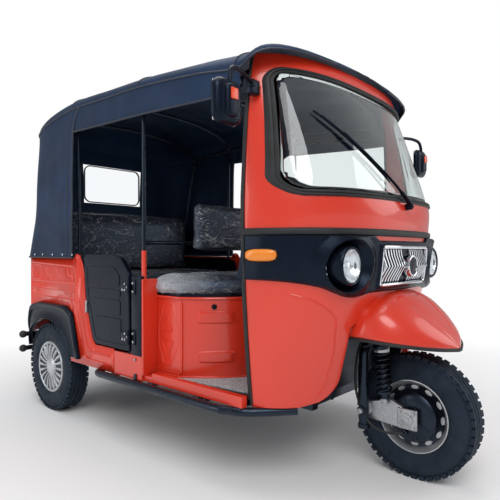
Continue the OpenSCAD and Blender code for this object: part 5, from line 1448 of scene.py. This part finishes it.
class RICKSHAW_OT_fittings(bpy.types.Operator):
    """Mirrors, marker lamps, wiper and canopy studs"""
    bl_idname = "rickshaw.fittings"
    bl_label = "Fittings"

    def execute(self, context):
        # Mirrors with their arms and square reflectors
        bm, lens, glass = bmesh.new(), bmesh.new(), bmesh.new()
        for side in (-1, 1):
            cy, cz = side * 832, 1512
            for rows, hw, hh, rad in (([(1733, 6), (1736, 1), (1742, 0), (1754, 3), (1763, 12), (1768, 30)], 68, 82, 38),
                                      ([(1760, 0), (1774, 2), (1780, 8), (1782, 18)], 32, 60, 22)):
                rings = []
                for x, inset in rows:
                    o = rounded([(cy - hw + inset, cz - hh + inset, max(rad - inset * 0.5, 4)),
                                 (cy + hw - inset, cz - hh + inset, max(rad - inset * 0.5, 4)),
                                 (cy + hw - inset, cz + hh - inset, max(rad - inset * 0.5, 4)),
                                 (cy - hw + inset, cz + hh - inset, max(rad - inset * 0.5, 4))])
                    rings.append([at(x, yy, zz) for yy, zz in o])
                bridge(bm, rings, cap=True)
            block(lens, (1781, cy - 17, cz + 2), (1788, cy + 17, cz + 42), 3)
            block(glass, (1731, cy - 58, cz - 72), (1734, cy + 58, cz + 72), 1)
            arm = smooth_path([at(1690, side * 632, 1640), at(1712, side * 700, 1650), at(1735, side * 770, 1650),
                               at(1750, side * 812, 1636), at(1756, side * 826, 1600), at(1756, side * 828, 1560)], 6)
            tube(bm, arm, 0.009, 12)
            block(bm, (1664, min(side * 596, side * 650), 1600), (1698, max(side * 596, side * 650), 1658), 6, 3)
            disc(bm, (1690, side * 640, 1640), (0, 0, 1), 14, 30, 4)
        finish_piece("Mirror housings", bm, MATERIALS["black_moulding"], BODY, ["mirrors"], crease=40)
        finish_piece("Mirror reflectors", lens, MATERIALS["orange_reflector"], BODY)
        finish_piece("Mirror glasses", glass, MATERIALS["reflector"], BODY)

        # Side marker lamps, long rounded lenses on the mask
        bm, base = bmesh.new(), bmesh.new()
        for side in (-1, 1):
            a0, a1 = cab_limit(964, 14) - 0.03, 1.09

            def ring(k, lift):
                out = []
                for j in range(48):
                    t = 2 * math.pi * j / 48
                    u = math.copysign(abs(math.cos(t)) ** 0.55, math.cos(t)) * k
                    v = math.copysign(abs(math.sin(t)) ** 0.7, math.sin(t)) * k
                    out.append(cab_point(side * ((a0 + a1) / 2 + (a0 - a1) / 2 * u), 964 + 24 * v, lift))
                return out

            bridge(base, [ring(1.14, 8), ring(1.12, 16), ring(1.03, 18), ring(0.98, 14)])
            loops = bridge(bm, [ring(1.0, 16), ring(0.97, 22), ring(0.85, 27), ring(0.6, 30), ring(0.3, 31), ring(0.05, 31)])
            bmesh.ops.holes_fill(bm, edges=loops[-1], sides=0)
        finish_piece("Marker lenses", bm, MATERIALS["amber_acrylic"], BODY, ["side_markers"])
        finish_piece("Marker frames", base, MATERIALS["black_moulding"], BODY)

        # Wiper: spindle, arm, spring cover and blade
        bm = bmesh.new()

        def on_cab(y, z, out):
            return cab_front(y, z, out)

        disc(bm, (2052, 0, 1176), (1, 0, 0.15), 15, 34, 4)
        arm = [on_cab(-279 * k, 1175 + 230 * k, 26 - 10 * k) for k in (i / 12 for i in range(13))]
        tube(bm, arm, [0.0085 - 0.004 * i / 12 for i in range(13)], 10, flat=0.6)
        tube(bm, [arm[0], arm[1], arm[2], arm[3]], 0.011, 10, flat=0.7)
        for k0, k1, r, lift in ((0, 1, 0.004, 2), (0.06, 0.94, 0.0045, 8), (0.3, 0.7, 0.006, 13)):
            pts = [on_cab(-445 + 331 * k, 1545 - 267 * k, lift) for k in (k0 + (k1 - k0) * i / 16 for i in range(17))]
            tube(bm, pts, r, 8)
        finish_piece("Wiper", bm, MATERIALS["black_moulding"], BODY, ["wiper"])

        # Snap fasteners of the canopy
        bm = bmesh.new()
        for side in (-1, 1):
            for x in (-147, -40, 87, 210, 322):
                disc(bm, (x, side * 661, 960), (0, 1, 0), 6, 4, 1.5, 16)
        for y in (-400, -200, 0, 200, 400):
            disc(bm, (-341, y, 960), (1, 0, 0), 6, 4, 1.5, 16)
        finish_piece("Canopy studs", bm, MATERIALS["chromed_plastic"], BODY)
        return {"FINISHED"}


class RICKSHAW_OT_stage(bpy.types.Operator):
    """Floor, backdrop, lights and camera"""
    bl_idname = "rickshaw.stage"
    bl_label = "Studio"

    def execute(self, context):
        bm = bmesh.new()
        bmesh.ops.create_grid(bm, x_segments=1, y_segments=1, size=60)
        mesh = bpy.data.meshes.new("Floor")
        bm.to_mesh(mesh)
        bm.free()
        mesh.materials.append(MATERIALS["pale_floor"])
        floor = bpy.data.objects.new("Floor", mesh)
        bpy.context.scene.collection.objects.link(floor)
        # The floor turns into plain white away from the vehicle, as the backdrop does
        t = MATERIALS["pale_floor"].node_tree
        tc = add(t, "ShaderNodeTexCoord")
        dist = add(t, "ShaderNodeVectorMath", {0: tc.outputs["Object"]}, operation="LENGTH")
        fade = add(t, "ShaderNodeMapRange", {"Value": dist.outputs["Value"], "From Min": 1.7, "From Max": 3.4})
        path = add(t, "ShaderNodeLightPath")
        seen = add(t, "ShaderNodeMath", {0: path.outputs["Is Camera Ray"], 1: path.outputs["Is Glossy Ray"]}, operation="MAXIMUM")
        seen = add(t, "ShaderNodeMath", {0: seen.outputs[0], 1: path.outputs["Is Transmission Ray"]}, operation="MAXIMUM")
        both = add(t, "ShaderNodeMath", {0: seen.outputs[0], 1: fade.outputs[0]}, operation="MULTIPLY")
        glow = add(t, "ShaderNodeEmission")
        glow.inputs["Color"].default_value = (1, 1, 1, 1)
        mix = add(t, "ShaderNodeMixShader", {0: both.outputs[0], 1: t.nodes["Principled BSDF"].outputs[0], 2: glow.outputs[0]})
        t.links.new(mix.outputs[0], t.nodes["Material Output"].inputs[0])

        world = bpy.data.worlds.new("Studio")
        bpy.context.scene.world = world
        world.use_nodes = True
        t = world.node_tree
        soft = t.nodes["Background"]
        soft.inputs["Color"].default_value = linear("#F4F6FA")
        soft.inputs["Strength"].default_value = 0.42
        white = add(t, "ShaderNodeBackground")
        white.inputs["Color"].default_value = (1, 1, 1, 1)
        path = add(t, "ShaderNodeLightPath")
        seen = add(t, "ShaderNodeMath", {0: path.outputs["Is Camera Ray"], 1: path.outputs["Is Transmission Ray"]}, operation="MAXIMUM")
        mix = add(t, "ShaderNodeMixShader", {0: seen.outputs[0], 1: soft.outputs[0], 2: white.outputs[0]})
        t.links.new(mix.outputs[0], t.nodes["World Output"].inputs[0])

        for name, place, aim, size, power in (
                ("Key", (3.5, -3.5, 5.0), (0, 0, 0.8), 4.0, 200), ("Fill", (4.5, 4.0, 3.0), (0, 0, 0.9), 4.0, 68),
                ("Top", (-0.5, 0, 6.0), (0, 0, 0), 5.0, 150), ("Side", (-2.5, -5.0, 2.0), (0, 0, 0.8), 3.0, 55)):
            lamp = bpy.data.lights.new(name, "AREA")
            lamp.shape, lamp.size, lamp.energy = "DISK", size, power
            ob = bpy.data.objects.new(name, lamp)
            ob.matrix_world = Matrix.Translation(place) @ (Vector(aim) - Vector(place)).to_track_quat("-Z", "Y").to_matrix().to_4x4()
            bpy.context.scene.collection.objects.link(ob)

        cam = bpy.data.cameras.new("Camera")
        cam.sensor_width = 36
        cam.lens = 491.42 / 500 * 36
        cam.shift_x, cam.shift_y = -0.0228, 0.0070
        ob = bpy.data.objects.new("Camera", cam)
        right = Vector((0.755218, 0.655473, -0.000958))
        up = Vector((-0.002727, 0.004603, 0.999986))
        back = right.cross(up)
        m = Matrix((right, up, back)).transposed().to_4x4()
        ob.matrix_world = Matrix.Translation((2.98694 - MID / 1000, -2.07537, 0.98076)) @ m
        bpy.context.scene.collection.objects.link(ob)
        bpy.context.scene.camera = ob
        scene = bpy.context.scene
        scene.view_settings.view_transform = "Standard"
        return {"FINISHED"}


OPERATORS = [
    RICKSHAW_OT_make_materials,
    RICKSHAW_OT_carry_over,
    RICKSHAW_OT_cab_shell,
    RICKSHAW_OT_windscreen,
    RICKSHAW_OT_nose,
    RICKSHAW_OT_mudguard,
    RICKSHAW_OT_canopy,
    RICKSHAW_OT_seats,
    RICKSHAW_OT_wheels,
    RICKSHAW_OT_side_panels,
    RICKSHAW_OT_doors,
    RICKSHAW_OT_seat_base,
    RICKSHAW_OT_tubes,
    RICKSHAW_OT_front_leg,
    RICKSHAW_OT_fittings,
    RICKSHAW_OT_stage,
]


class RICKSHAW_PT_panel(bpy.types.Panel):
    """Settings and build steps of the rickshaw"""
    bl_label = "Electric rickshaw"
    bl_space_type = "VIEW_3D"
    bl_region_type = "UI"
    bl_category = "Rickshaw"

    def draw(self, context):
        settings = context.scene.rickshaw
        for name in RickshawSettings.__annotations__:
            self.layout.prop(settings, name)
        for op in OPERATORS:
            self.layout.operator(op.bl_idname)


CLASSES = [RickshawSettings, *OPERATORS, RICKSHAW_PT_panel]


def register():
    for cls in CLASSES:
        bpy.utils.register_class(cls)
    bpy.types.Scene.rickshaw = bpy.props.PointerProperty(type=RickshawSettings)


def unregister():
    del bpy.types.Scene.rickshaw
    for cls in reversed(CLASSES):
        bpy.utils.unregister_class(cls)


def main():
    register()
    for op in OPERATORS:
        getattr(bpy.ops.rickshaw, op.bl_idname.split(".")[1])()


if __name__ == "__main__":
    main()
